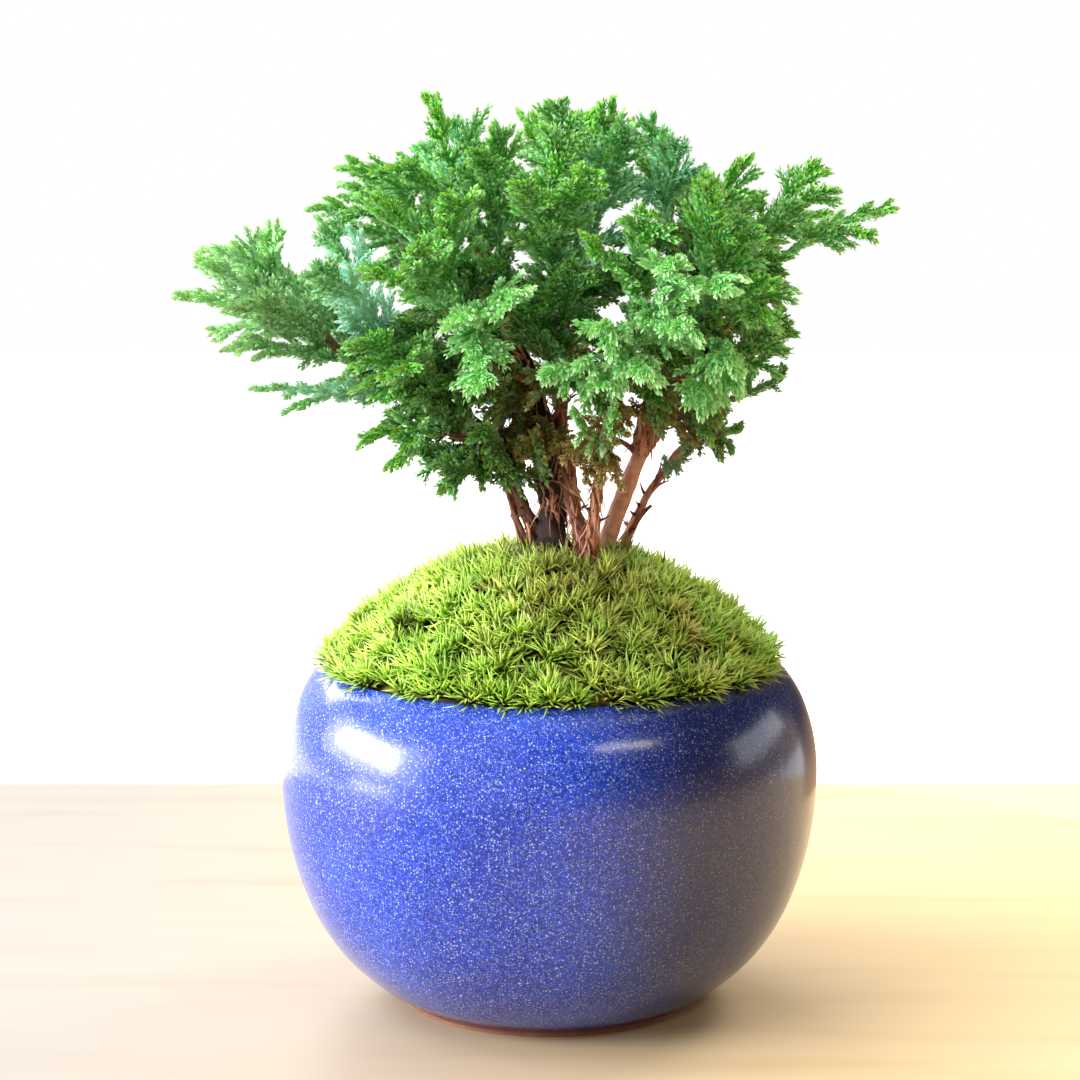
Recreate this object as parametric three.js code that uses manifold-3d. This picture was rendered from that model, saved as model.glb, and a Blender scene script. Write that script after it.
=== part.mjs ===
// A small sawara cypress grown as a clump of stems, in a round glazed pot topped with moss.
// Millimetres, +Z up. The origin is the centre of the pot's flat underside, and the front faces -Y.

import * as THREE from 'three';
import { mergeVertices } from 'three/addons/utils/BufferGeometryUtils.js';
import Module from 'manifold-3d';

const wasm = await Module();
wasm.setup();

// Clearance between pieces that touch on the real plant, and the room a stem has in the moss
const GAP = 0.35;
const STEM_ROOM = 0.55;

// Pot: the outline of its outside as [radius, height], from the foot to the top of the lip
const POT_OUTLINE = [
  [31, 0], [31.6, 1.4], [37.6, 5], [45, 12], [50.6, 21], [54.4, 32],
  [56.2, 43], [56.2, 54], [53.8, 63.5], [50.2, 69.6], [46.8, 72.3],
];
const POT_WALL = 4;
const POT_FLOOR = 5.5;
const POT_FLOOR_RADIUS = 32;
const POT_SIDES = 40;
const OUTSIDE_STEPS = 12;
const MOUTH_RADIUS = 45.4;
const MOUTH_HEIGHTS = [71, 69.2];
const DRAIN_HOLE_RADIUS = 4;
const DRAIN_HOLE_RING = 12;
const DRAIN_HOLES = 3;
const DRAIN_HOLE_SIDES = 10;

// Where the pot's inner wall starts and ends along the outline, from 0 at the foot to 1 at the lip
const INSIDE_START = 0.26;
const INSIDE_END = 0.9;
const INSIDE_STEPS = 5;

// Plastic mesh over the drain holes
const SCREEN_RADIUS = 18.5;
const SCREEN_SIDES = 20;
const SCREEN_THICKNESS = 0.8;
const SCREEN_OPENING = 7;
const SCREEN_PITCH = 9;

// Moss: a dome of star tufts, whose tips follow one curve from the rim to the crown of the mound
const MOSS_RADIUS = 47.2;
const MOSS_EDGE_HEIGHT = 73;
const MOSS_UNDER_EDGE = 71.6;
const MOSS_RISE = 23.6;
const MOSS_POWER = 2.4;
const MOSS_RINGS = 8;
const TUFT_HEIGHT = 3.6;
const TUFT_LEAN = 2.4;
const MOSS_THICKNESS = 5;

// Soil: its sides, the height where it leaves the pot's wall, and how much it rises towards the rim
const SOIL_SIDES = 20;
const SOIL_SHOULDER = 68;
const SOIL_RIM_RISE = 1.6;
const SOIL_GAP = 0.55;

// Root crown: where the stems meet, an oval stump in the soil
const ROOT_CENTRE = [4.6, -1];
const ROOT_OVAL = 0.8;
const ROOT_OUTLINE = [[0, 62], [8, 62.5], [11, 72], [14.6, 80.5], [13, 84], [0, 85]];
const ROOT_SIDES = 10;

// Stems and limbs: points, the radius at each end, the number of sides and of steps.
// The first seven stand in the moss, and the others branch from one of them.
const LIMBS = {
  leftThin: [[[-2, 1, 82], [-6.2, 2, 99.7], [-8, 1, 106], [-10, 0, 114], [-15, -7, 119.5], [-21, -12, 122]],
    0.95, 0.6, 4, 6],
  leftArm: [[[0, 0, 82], [-4, 1, 101], [-6.5, 0, 108], [-9.5, -1, 117], [-19, -4, 125.5], [-33, -6, 133],
    [-43, -6, 138], [-49, -5, 144]], 1.4, 0.8, 5, 9],
  darkTrunk: [[[0.5, 0, 80], [0.7, 0, 102], [0, 1, 110], [-1, 2, 119], [-4, 2, 130], [-8, 1, 141],
    [-12, 0, 151], [-15, -1, 158]], 3.7, 1, 8, 8],
  middle: [[[7, -5, 81], [6.5, -6, 99], [5.5, -5, 104], [4, -4, 111], [2.5, -2, 119], [2.5, 0, 130],
    [3, 3, 143], [4, 3, 156]], 1.8, 0.8, 5, 8],
  peeling: [[[7.5, -7, 82], [9, -9, 101], [9.5, -10, 108], [10.5, -12, 115], [12, -17, 125], [14, -22, 134],
    [16, -25, 143]], 1.35, 0.7, 5, 7],
  pinkTrunk: [[[8.5, 3, 80], [13, 4, 100], [15.5, 5, 106], [17.5, 6, 111.5], [19.5, 6, 116.5], [22, 6, 125],
    [26, 5, 135], [31.5, 3, 144], [38, 1, 151], [45, 0, 156]], 2.2, 0.9, 6, 10],
  rightThin: [[[11, 3, 82], [17.5, 6, 100], [20, 7, 105], [22.5, 8, 109], [26, 9, 113.5], [31, 9, 119],
    [35, 8, 125], [38, 7, 130]], 1.1, 0.6, 4, 8],
  leftBack: [[[-4, 2, 130], [-10, 11, 138], [-17, 19, 145], [-23, 25, 151]], 1.5, 0.8, 5, 3],
  leftFront: [[[-4, 2, 130], [-10, -8, 136], [-15, -15, 141], [-20, -21, 147]], 1.5, 0.8, 5, 3],
  middleBack: [[[2.5, 0, 130], [3, 11, 137], [3, 21, 144], [2, 28, 150]], 1.3, 0.8, 5, 3],
  rightUp: [[[26, 5, 135], [28, 3, 144], [27, 1, 152], [25, 0, 159]], 1.4, 0.8, 5, 3],
  rightFront: [[[22, 6, 125], [26, -4, 132], [31, -13, 138], [35, -20, 144]], 1.4, 0.8, 5, 3],
  rightBack: [[[26, 5, 135], [30, 14, 140], [34, 22, 145]], 1.3, 0.8, 5, 3],
  rightFork: [[[19, 6, 115], [21.5, 6, 122], [24, 5, 129], [26.5, 4, 135]], 1.9, 3.9, 7, 3],
};
const STANDING_STEMS = ['leftThin', 'leftArm', 'darkTrunk', 'middle', 'peeling', 'pinkTrunk', 'rightThin'];

const LIMB_LUMPS = 0.1;

// Bare dead twigs under the leaves: a limb, the place along it, and the tip
const DEAD_TWIGS = [
  ['darkTrunk', 0.45, [-12, -8, 122]], ['darkTrunk', 0.5, [4, -14, 129]], ['middle', 0.42, [12, 4, 125]],
  ['pinkTrunk', 0.42, [12, -2, 120]], ['leftArm', 0.42, [-22, 4, 122]], ['rightThin', 0.3, [25, 3, 106]],
];
const DEAD_TWIG_RADII = [0.7, 0.35];
const DEAD_TWIG_RISE = 1.5;

// Leafy sprays: the limb, the place along it where the twig leaves, the colour, and the tip of each rib
const SPRAYS = {
  left_arm_end: ['leftArm', 0.94, 'fresh', [-77.5, -6, 149], [-71, -13, 156.5], [-69, -4, 142]],
  left_arm_top: ['leftArm', 1, 'fresh', [-71.5, 8, 156.5], [-59, 4, 161], [-65, -6, 158.5]],
  left_arm_front: ['leftArm', 0.85, 'deep', [-63.5, -19, 139.5], [-61, -25, 149]],
  left_arm_low: ['leftArm', 0.72, 'blue', [-61, -7, 130.5], [-53.5, -17, 127]],
  left_arm_back: ['leftArm', 0.84, 'deep', [-59, 20, 152], [-52, 27, 146]],
  left_arm_under: ['leftArm', 0.62, 'deep', [-46, 13, 130], [-40, 27, 136]],
  left_inner: ['leftArm', 0.75, 'blue', [-46, -31, 157], [-46, -11, 164]],
  left_inner_front: ['leftArm', 0.56, 'fresh', [-38, -33, 142], [-28, -38, 137], [-37, -22, 132.5]],
  left_low: ['leftThin', 1, 'fresh', [-36.5, -22, 122], [-30, -30, 118.5]],
  left_low_inner: ['leftThin', 0.75, 'deep', [-20, -24, 116.5], [-25.5, -6, 117.5]],
  left_low_front: ['leftThin', 0.62, 'deep', [-15.5, -27, 123]],
  shoulder_left: ['darkTrunk', 0.95, 'fresh', [-40.5, -8, 176], [-47.5, -3, 167.5]],
  shoulder_left_back: ['darkTrunk', 0.88, 'deep', [-43, 14, 171], [-45, 18, 162]],
  spike_left: ['darkTrunk', 1, 'fresh', [-25.5, -2, 191], [-32, -17, 175.5]],
  top_left: ['darkTrunk', 0.97, 'blue', [-20, 17, 184], [-27, 26, 178]],
  top_left_middle: ['darkTrunk', 0.9, 'fresh', [-10, -9, 183], [-13.5, -22, 179]],
  front_upper_left: ['leftFront', 0.85, 'fresh', [-34, -34, 170], [-19, -40, 171]],
  front_left: ['leftFront', 1, 'fresh', [-34, -44, 156], [-25, -48, 161]],
  front_left_centre: ['leftFront', 0.7, 'bright', [-17, -47, 148], [-6, -50, 152], [-13, -43, 134]],
  back_left: ['leftBack', 1, 'deep', [-47, 40, 160], [-34, 41, 172], [-38, 48, 150]],
  back_left_low: ['leftBack', 0.7, 'deep', [-27, 49, 144], [-34, 40, 139]],
  top_middle: ['middle', 1, 'fresh', [-4.5, 3, 184.5], [2, -12, 188.5], [-2, 20, 182.5]],
  top_right_middle: ['middle', 0.94, 'fresh', [7.5, 18, 186], [13, 3, 187.5], [16.5, 14, 183]],
  front_upper: ['middle', 0.86, 'fresh', [-5, -40, 173], [7, -42, 176], [0, -28, 183]],
  front_high: ['middle', 0.9, 'blue', [15, -26, 183]],
  back_upper: ['middleBack', 0.85, 'deep', [3, 39, 178], [-14, 42, 173], [-17, 33, 180]],
  back: ['middleBack', 1, 'deep', [-7, 54, 157], [13, 54, 147], [4, 53, 166]],
  back_low: ['middleBack', 0.55, 'deep', [-12, 45, 130], [5, 47, 132]],
  centre_hanging: ['peeling', 0.75, 'bright', [-2, -46, 130], [7, -50, 134], [12, -46, 126]],
  centre_fan: ['peeling', 0.9, 'bright', [18, -51, 138], [10, -50, 147]],
  centre_low: ['peeling', 0.55, 'bright', [12, -35, 123], [3.5, -33, 123]],
  fan_up: ['peeling', 1, 'fresh', [18, -44, 168], [8, -47, 162]],
  fan_right: ['peeling', 0.96, 'bright', [26, -53, 147], [34, -50, 156], [24, -51, 160]],
  top_right: ['rightUp', 1, 'blue', [21, 7, 184], [26, -10, 179.5]],
  upper_right: ['rightUp', 0.85, 'fresh', [39.5, 2, 175], [36.5, -14, 170]],
  upper_right_back: ['rightUp', 0.75, 'deep', [42.5, 19, 168.5], [33.5, 25, 171.5]],
  right_tips: ['pinkTrunk', 0.92, 'fresh', [56, 9, 175.5], [57, -6, 171], [57.5, 11, 165.5]],
  right_end: ['pinkTrunk', 1, 'fresh', [72, 0, 167], [65.5, -11, 162.5]],
  right_inner: ['pinkTrunk', 0.8, 'deep', [46, -19, 158], [45.5, -11, 152]],
  front_upper_right: ['rightFront', 0.85, 'fresh', [30, -40, 172], [39, -35, 165], [30, -26, 174]],
  front_right: ['rightFront', 1, 'fresh', [42.5, -33, 152.5], [40.5, -41, 148]],
  hanging_right: ['rightFront', 0.75, 'bright', [34, -45, 139.5], [28.5, -41, 130.5], [36, -33, 134]],
  back_upper_right: ['rightBack', 0.75, 'deep', [29, 42, 171], [19, 38, 178]],
  back_right: ['rightBack', 1, 'deep', [48, 40, 158], [48, 34, 146], [38, 48, 152]],
  back_right_low: ['rightBack', 0.5, 'deep', [31, 44, 130], [22, 49, 138]],
  right_side: ['rightThin', 1, 'fresh', [48.5, -4, 143], [46.5, 14, 138]],
  right_low: ['rightThin', 0.92, 'deep', [49, 6, 133.5], [47, 20, 135.5]],
  right_under: ['rightThin', 0.78, 'deep', [40, 15, 119.5]],
  right_under_front: ['rightThin', 0.68, 'fresh', [35.5, -19, 128.5], [31.5, -20, 122.5]],
  right_stub: ['rightThin', 0.58, 'blue', [29, -7, 118]],
  inner_front: ['middle', 0.58, 'deep', [-4, -31, 149], [5, -34, 157], [-11, -30, 158]],
  inner_left: ['darkTrunk', 0.55, 'deep', [-23, -21, 133], [-30, -16, 144], [-31, 4, 139]],
  inner_right: ['pinkTrunk', 0.5, 'deep', [26, -27, 139], [20, -29, 131]],
  inner_back_left: ['leftBack', 0.3, 'deep', [-20, 33, 137], [-28, 19, 133]],
  inner_back_right: ['pinkTrunk', 0.58, 'deep', [22, 32, 143], [35, 31, 136]],
};

// A spray's rib, and where its three corners stand round it, in degrees from its right-hand side
const RIB_RADIUS = 1.3;
const RIB_CORNERS = [30, 150, 270];
const RIB_RISE = 0.16;
const SIDE_PLACES = [0, 0.2, 0.36];
const SIDE_BARE = 4.5;
const LEAFY_LENGTH = 36;

// A spray's shoots
const SHOOT_PITCH = 4.5;
const SHOOT_LENGTH = 12;
const SHOOT_WIDTH = 1.4;
const TIP_LENGTH = 7;

// The bare twig that carries a spray, and how squarely it leaves its limb
const TWIG_RADIUS = 0.62;
const TWIG_GAP = 0.6;
const LONG_TWIG = 9;
const TWIG_RISE = 0.06;
const LEAVE_ACROSS = 0.7;

// How far the ribs of different sprays bend apart, and how thick each counts where a shoot must be clear
const RIB_SPACING = 7;
const RIB_ROOM = 1.5;
const SPREAD_ROUNDS = 24;
const SPREAD_SHARE = 0.12;
const SPREAD_STEP = 1.5;

// Leaves face away from the middle of the crown, and somewhat upwards
const CROWN_CENTRE = new THREE.Vector3(0, 0, 132);
const UP = new THREE.Vector3(0, 0, 1);
const FACE_UP = 0.7;

// Colour, roughness and metalness of each finish
const FINISHES = {
  glaze: [0x27358f, 0.18, 0],
  screen: [0x1b1b1b, 0.6, 0],
  soil: [0x4a3423, 0.95, 0],
  moss: [0x7fa02a, 0.85, 0],
  bark: [0x7a4636, 0.85, 0],
  fresh: [0x2f9438, 0.55, 0],
  bright: [0x58bb48, 0.55, 0],
  blue: [0x4f9c7c, 0.6, 0],
  deep: [0x1f6a34, 0.6, 0],
};

// One repeatable stream of numbers from 0 to 1
function makeRandom(seed) {
  let state = seed;
  return () => {
    state = (state + 0x6d2b79f5) | 0;
    let mixed = Math.imul(state ^ (state >>> 15), 1 | state);
    mixed = (mixed + Math.imul(mixed ^ (mixed >>> 7), 61 | mixed)) ^ mixed;
    return ((mixed ^ (mixed >>> 14)) >>> 0) / 4294967296;
  };
}

const vector = ([x, y, z]) => new THREE.Vector3(x, y, z);

// Turns a closed geometry into a solid: its corners are merged, and its faces made to point outwards
function toSolid(geometry) {
  const bare = geometry.clone();
  bare.deleteAttribute('normal');
  bare.deleteAttribute('uv');
  const merged = mergeVertices(bare, 1e-4);
  const corners = merged.index.array;
  const place = merged.attributes.position;
  const [a, b, c] = [new THREE.Vector3(), new THREE.Vector3(), new THREE.Vector3()];
  const triangles = [];
  let volume = 0;
  for (let i = 0; i < corners.length; i += 3) {
    const [p, q, r] = [corners[i], corners[i + 1], corners[i + 2]];
    if (p !== q && q !== r && r !== p) {
      triangles.push(p, q, r);
      a.fromBufferAttribute(place, p);
      b.fromBufferAttribute(place, q);
      c.fromBufferAttribute(place, r);
      volume += a.dot(b.cross(c));
    }
  }
  if (volume < 0) {
    triangles.reverse();
  }
  const mesh = new wasm.Mesh({
    numProp: 3,
    vertProperties: new Float32Array(place.array),
    triVerts: new Uint32Array(triangles),
  });
  return new wasm.Manifold(mesh);
}

// Turns a solid back into a geometry
function toGeometry(solid) {
  const mesh = solid.getMesh();
  const geometry = new THREE.BufferGeometry();
  geometry.setAttribute('position', new THREE.BufferAttribute(new Float32Array(mesh.vertProperties), 3));
  geometry.setIndex(new THREE.BufferAttribute(new Uint32Array(mesh.triVerts), 1));
  geometry.computeVertexNormals();
  return geometry;
}

// The largest of a solid's separate bodies
function largestBody(solid) {
  const bodies = solid.decompose();
  return bodies.reduce((best, body) => (body.volume() > best.volume() ? body : best));
}

const plant = new THREE.Group();

function addPiece(name, geometry, finish) {
  const [color, roughness, metalness] = FINISHES[finish];
  const mesh = new THREE.Mesh(geometry, new THREE.MeshStandardMaterial({ color, roughness, metalness }));
  mesh.name = name;
  plant.add(mesh);
}

// A solid turned about the Z axis from an outline of [radius, height] points
function turned(outline, sides) {
  const points = outline.map((point) => new THREE.Vector2(...point));
  return new THREE.LatheGeometry(points, sides).rotateX(Math.PI / 2);
}

// The pot's outline, moved inwards by a depth, between two places along the curve
const potCurve = new THREE.SplineCurve(POT_OUTLINE.map((point) => new THREE.Vector2(...point)));
function potOutline(depth, from, to, steps) {
  const points = [];
  for (let i = 0; i <= steps; i += 1) {
    const place = from + ((to - from) * i) / steps;
    const point = potCurve.getPoint(place);
    const along = potCurve.getTangent(place);
    points.push([point.x - along.y * depth, point.y + along.x * depth]);
  }
  return points;
}

function makePot() {
  const outside = potOutline(0, 0, 1, OUTSIDE_STEPS);
  const inside = potOutline(POT_WALL, INSIDE_END, INSIDE_START, INSIDE_STEPS);
  const lip = MOUTH_HEIGHTS.map((height) => [MOUTH_RADIUS, height]);
  const floor = [[POT_FLOOR_RADIUS, POT_FLOOR], [0, POT_FLOOR]];
  let pot = toSolid(turned([[0, 0], ...outside, ...lip, ...inside, ...floor], POT_SIDES));
  for (let i = 0; i < DRAIN_HOLES; i += 1) {
    const angle = ((i + 0.25) * 2 * Math.PI) / DRAIN_HOLES;
    const depth = 4 * POT_FLOOR;
    const hole = new THREE.CylinderGeometry(DRAIN_HOLE_RADIUS, DRAIN_HOLE_RADIUS, depth, DRAIN_HOLE_SIDES);
    hole.rotateX(Math.PI / 2);
    hole.translate(DRAIN_HOLE_RING * Math.cos(angle), DRAIN_HOLE_RING * Math.sin(angle), 0);
    pot = pot.subtract(toSolid(hole));
  }
  addPiece('pot', toGeometry(pot), 'glaze');
}

function makeScreen() {
  const disc = new THREE.CylinderGeometry(SCREEN_RADIUS, SCREEN_RADIUS, SCREEN_THICKNESS, SCREEN_SIDES);
  let screen = toSolid(disc.rotateX(Math.PI / 2));
  for (let column = -1; column <= 1; column += 1) {
    for (let row = -1; row <= 1; row += 1) {
      if (column !== 0 || row !== 0) {
        const opening = new THREE.BoxGeometry(SCREEN_OPENING, SCREEN_OPENING, 3 * SCREEN_THICKNESS);
        opening.translate(column * SCREEN_PITCH, row * SCREEN_PITCH, 0);
        screen = screen.subtract(toSolid(opening));
      }
    }
  }
  screen = screen.translate([0, 0, POT_FLOOR + GAP + SCREEN_THICKNESS / 2]);
  addPiece('drain_screen', toGeometry(screen), 'screen');
}

// Height of the moss tips, and of the soil under the moss, at a distance from the axis
const mossTipHeight = (radius) => {
  const across = Math.min(radius / (MOSS_RADIUS + 1.3), 1);
  return MOSS_EDGE_HEIGHT + MOSS_RISE * (1 - across ** MOSS_POWER);
};
const soilHeight = (radius) => {
  const across = Math.min(radius / MOSS_RADIUS, 1);
  return mossTipHeight(radius) - TUFT_HEIGHT - MOSS_THICKNESS + SOIL_RIM_RISE * across ** 4;
};

// A solid that fills the root crown's place, grown by a clearance, and open upwards to a height
function rootShape(clearance, top) {
  const outline = ROOT_OUTLINE.map(([radius, height]) => [radius === 0 ? 0 : radius + clearance, height]);
  outline[0][1] -= clearance;
  if (top) {
    outline.splice(4, 2, [ROOT_OUTLINE[3][0] + clearance, top], [0, top]);
  }
  const shape = turned(outline, ROOT_SIDES);
  shape.scale(1, ROOT_OVAL, 1);
  shape.translate(ROOT_CENTRE[0], ROOT_CENTRE[1], 0);
  return toSolid(shape);
}

function makeSoil() {
  const floor = POT_FLOOR + GAP;
  const recess = floor + SCREEN_THICKNESS + GAP;
  const side = potOutline(POT_WALL + SOIL_GAP, INSIDE_START, INSIDE_END, INSIDE_STEPS);
  const edge = MOUTH_RADIUS - 1;
  const outline = [
    [0, recess], [SCREEN_RADIUS + 1, recess], [SCREEN_RADIUS + 1, floor], [POT_FLOOR_RADIUS - 1, floor],
    ...side, [edge, SOIL_SHOULDER],
  ];
  for (const radius of [edge, 36, 24, 12]) {
    outline.push([radius, soilHeight(radius)]);
  }
  outline.push([0, soilHeight(0)]);
  const soil = toSolid(turned(outline, SOIL_SIDES)).subtract(rootShape(GAP, soilHeight(0) + 5));
  addPiece('soil', toGeometry(soil), 'soil');
}

// The places of a round lattice: one in the middle, then rings of 6, 12, 18 and so on
function latticePlaces(rings, radius) {
  const places = [[0, 0]];
  for (let ring = 1; ring <= rings; ring += 1) {
    for (let i = 0; i < 6 * ring; i += 1) {
      const angle = (2 * Math.PI * i) / (6 * ring);
      const reach = (radius * ring) / rings;
      places.push([reach * Math.cos(angle), reach * Math.sin(angle)]);
    }
  }
  return places;
}

// The triangles between the lattice's rings
function latticeTriangles(rings) {
  const triangles = [];
  const index = (ring, i) => (ring === 0 ? 0 : 1 + 3 * ring * (ring - 1) + (i % (6 * ring)));
  for (let ring = 1; ring <= rings; ring += 1) {
    for (let sector = 0; sector < 6; sector += 1) {
      for (let i = 0; i < ring; i += 1) {
        const outer = sector * ring + i;
        const inner = sector * (ring - 1) + i;
        triangles.push([index(ring, outer), index(ring, outer + 1), index(ring - 1, inner)]);
        if (i < ring - 1) {
          triangles.push([index(ring - 1, inner), index(ring, outer + 1), index(ring - 1, inner + 1)]);
        }
      }
    }
  }
  return triangles;
}

// The moss: each triangle of a domed lattice carries one pointed tuft, and the underside follows the soil
function makeMoss(stems) {
  const random = makeRandom(11);
  const flat = latticePlaces(MOSS_RINGS, MOSS_RADIUS);
  const rimStart = flat.length - 6 * MOSS_RINGS;
  const positions = [];
  const triangles = [];
  flat.forEach(([x, y], i) => {
    const jitter = i < rimStart ? 1.5 : 0;
    const px = x + jitter * (random() - 0.5);
    const py = y + jitter * (random() - 0.5);
    const sink = i < rimStart ? TUFT_HEIGHT : 0;
    positions.push(px, py, mossTipHeight(Math.hypot(px, py)) - sink);
  });
  for (const [a, b, c] of latticeTriangles(MOSS_RINGS)) {
    const [p, q, r] = [a, b, c].map((corner) => new THREE.Vector3().fromArray(positions, 3 * corner));
    const centre = p.clone().add(q).add(r).divideScalar(3);
    const out = q.clone().sub(p).cross(r.clone().sub(p)).normalize();
    if (out.z < 0) {
      out.negate();
    }
    const lean = new THREE.Vector3(random() - 0.5, random() - 0.5, 0).multiplyScalar(TUFT_LEAN);
    const height = TUFT_HEIGHT * (0.8 + 0.5 * random());
    const tip = centre.clone().addScaledVector(out, height).add(lean);
    const peak = positions.length / 3;
    positions.push(tip.x, tip.y, tip.z);
    triangles.push(a, b, peak, b, c, peak, c, a, peak);
  }
  const under = positions.length / 3;
  flat.forEach(([x, y], i) => {
    const inner = i < rimStart;
    const shrink = inner ? 1 : (MOUTH_RADIUS - 1) / MOSS_RADIUS;
    const height = inner ? soilHeight(Math.hypot(x, y)) + GAP + 0.1 : MOSS_UNDER_EDGE;
    positions.push(x * shrink, y * shrink, height);
  });
  for (const [a, b, c] of latticeTriangles(MOSS_RINGS)) {
    triangles.push(under + a, under + c, under + b);
  }
  const around = 6 * MOSS_RINGS;
  for (let i = 0; i < around; i += 1) {
    const [top, next] = [rimStart + i, rimStart + ((i + 1) % around)];
    triangles.push(top, under + top, next, next, under + top, under + next);
  }
  const geometry = new THREE.BufferGeometry();
  geometry.setAttribute('position', new THREE.Float32BufferAttribute(positions, 3));
  geometry.setIndex(triangles);
  let moss = toSolid(geometry);
  for (const stem of stems) {
    moss = moss.subtract(stem);
  }
  addPiece('moss', toGeometry(largestBody(moss)), 'moss');
}

// A limb: a closed cylinder whose rings are carried along a curve, tapering and slightly lumpy
function limbSolid(curve, startRadius, endRadius, sides, steps, lumps) {
  const tube = new THREE.CylinderGeometry(1, 1, 1, sides, steps);
  const frames = curve.computeFrenetFrames(steps, false);
  const place = tube.attributes.position;
  for (let i = 0; i < place.count; i += 1) {
    const along = place.getY(i) + 0.5;
    const ring = Math.round(along * steps);
    const swell = 1 + lumps * Math.sin(2.3 * ring + 1.7 * place.getX(i));
    const radius = (startRadius + (endRadius - startRadius) * along) * swell;
    const point = curve.getPointAt(Math.min(along, 1));
    point.addScaledVector(frames.normals[ring], place.getX(i) * radius);
    point.addScaledVector(frames.binormals[ring], place.getZ(i) * radius);
    place.setXYZ(i, point.x, point.y, point.z);
  }
  return toSolid(tube);
}

const limbCurves = {};
for (const [name, [points]] of Object.entries(LIMBS)) {
  limbCurves[name] = new THREE.CatmullRomCurve3(points.map(vector));
}

// Each spray's twig runs from its limb to where the leaves begin, and each rib from there to its tip
function layOutSprays() {
  const sprays = [];
  for (const [name, [limb, place, finish, ...tips]] of Object.entries(SPRAYS)) {
    const root = limbCurves[limb].getPointAt(place);
    const [, startRadius, endRadius] = LIMBS[limb];
    const limbRadius = THREE.MathUtils.lerp(startRadius, endRadius, place);
    const middle = new THREE.Vector3();
    tips.forEach((tip) => middle.add(vector(tip)));
    middle.divideScalar(tips.length);
    const reach = middle.distanceTo(root);
    const bare = Math.max(reach - LEAFY_LENGTH, 0.1 * reach, limbRadius + 2);
    const leave = middle.clone().sub(root).normalize();
    if (place < 1) {
      const along = limbCurves[limb].getTangentAt(place);
      leave.addScaledVector(along, -LEAVE_ACROSS * leave.dot(along)).normalize();
    }
    const base = root.clone().addScaledVector(leave, bare);
    const ribs = tips.map((tip) => {
      const end = vector(tip);
      const bend = base.clone().lerp(end, 0.5);
      bend.z += RIB_RISE * base.distanceTo(end);
      return new THREE.QuadraticBezierCurve3(base.clone(), bend, end);
    });
    ribs.forEach((rib, i) => rib.v0.copy(ribs[0].getPoint(SIDE_PLACES[i])));
    sprays.push({ name, finish, root, base, ribs });
  }
  return sprays;
}

// Bends the ribs of different sprays away from each other, and from the limbs, until they have room
function spreadRibs(sprays) {
  const places = [0.3, 0.45, 0.6, 0.75, 0.9];
  const limbPoints = Object.values(limbCurves).flatMap((curve) => curve.getSpacedPoints(16));
  for (let round = 0; round < SPREAD_ROUNDS; round += 1) {
    const samples = sprays.flatMap((spray) => spray.ribs.flatMap((rib) => (
      places.map((place) => ({ spray, rib, point: rib.getPoint(place) }))
    )));
    const pushes = new Map();
    const addPush = (rib, away, amount) => {
      const push = pushes.get(rib) ?? new THREE.Vector3();
      pushes.set(rib, push.addScaledVector(away, amount));
    };
    samples.forEach((one, i) => {
      for (const other of samples.slice(i + 1)) {
        const away = one.point.clone().sub(other.point);
        const distance = away.length();
        if (one.spray !== other.spray && distance < RIB_SPACING) {
          away.divideScalar(distance);
          addPush(one.rib, away, SPREAD_SHARE * (RIB_SPACING - distance));
          addPush(other.rib, away, -SPREAD_SHARE * (RIB_SPACING - distance));
        }
      }
      for (const point of limbPoints) {
        const away = one.point.clone().sub(point);
        const distance = away.length();
        if (distance < RIB_SPACING) {
          addPush(one.rib, away.divideScalar(distance), SPREAD_SHARE * (RIB_SPACING - distance));
        }
      }
    });
    for (const [rib, push] of pushes) {
      rib.v1.add(push.clampLength(0, SPREAD_STEP));
    }
    for (const { ribs } of sprays) {
      ribs.slice(1).forEach((rib, i) => rib.v0.copy(ribs[0].getPoint(SIDE_PLACES[i + 1])));
    }
  }
}

// The shortest distance between two straight segments
function segmentDistance(a, b, c, d) {
  const u = b.clone().sub(a);
  const v = d.clone().sub(c);
  const w = a.clone().sub(c);
  const [uu, uv, vv, uw, vw] = [u.dot(u), u.dot(v), v.dot(v), u.dot(w), v.dot(w)];
  const clamp = (value) => Math.min(Math.max(value, 0), 1);
  const slant = uu * vv - uv * uv;
  let s = slant > 1e-9 ? clamp((uv * vw - vv * uw) / slant) : 0;
  const t = clamp((uv * s + vw) / vv);
  s = clamp((uv * t - uw) / uu);
  return w.addScaledVector(u, s).addScaledVector(v, -t).length();
}

// Everything that a new shoot must stay clear of, as straight rods
const rods = [];
function addRods(curve, from, to, steps, radius, owner) {
  for (let i = 0; i < steps; i += 1) {
    const a = curve.getPoint(from + ((to - from) * i) / steps);
    const b = curve.getPoint(from + ((to - from) * (i + 1)) / steps);
    rods.push({ a, b, radius, owner });
  }
}
function isClear(a, b, radius, owner) {
  return rods.every((rod) => (
    rod.owner === owner || segmentDistance(a, b, rod.a, rod.b) > radius + rod.radius + GAP
  ));
}

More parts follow.
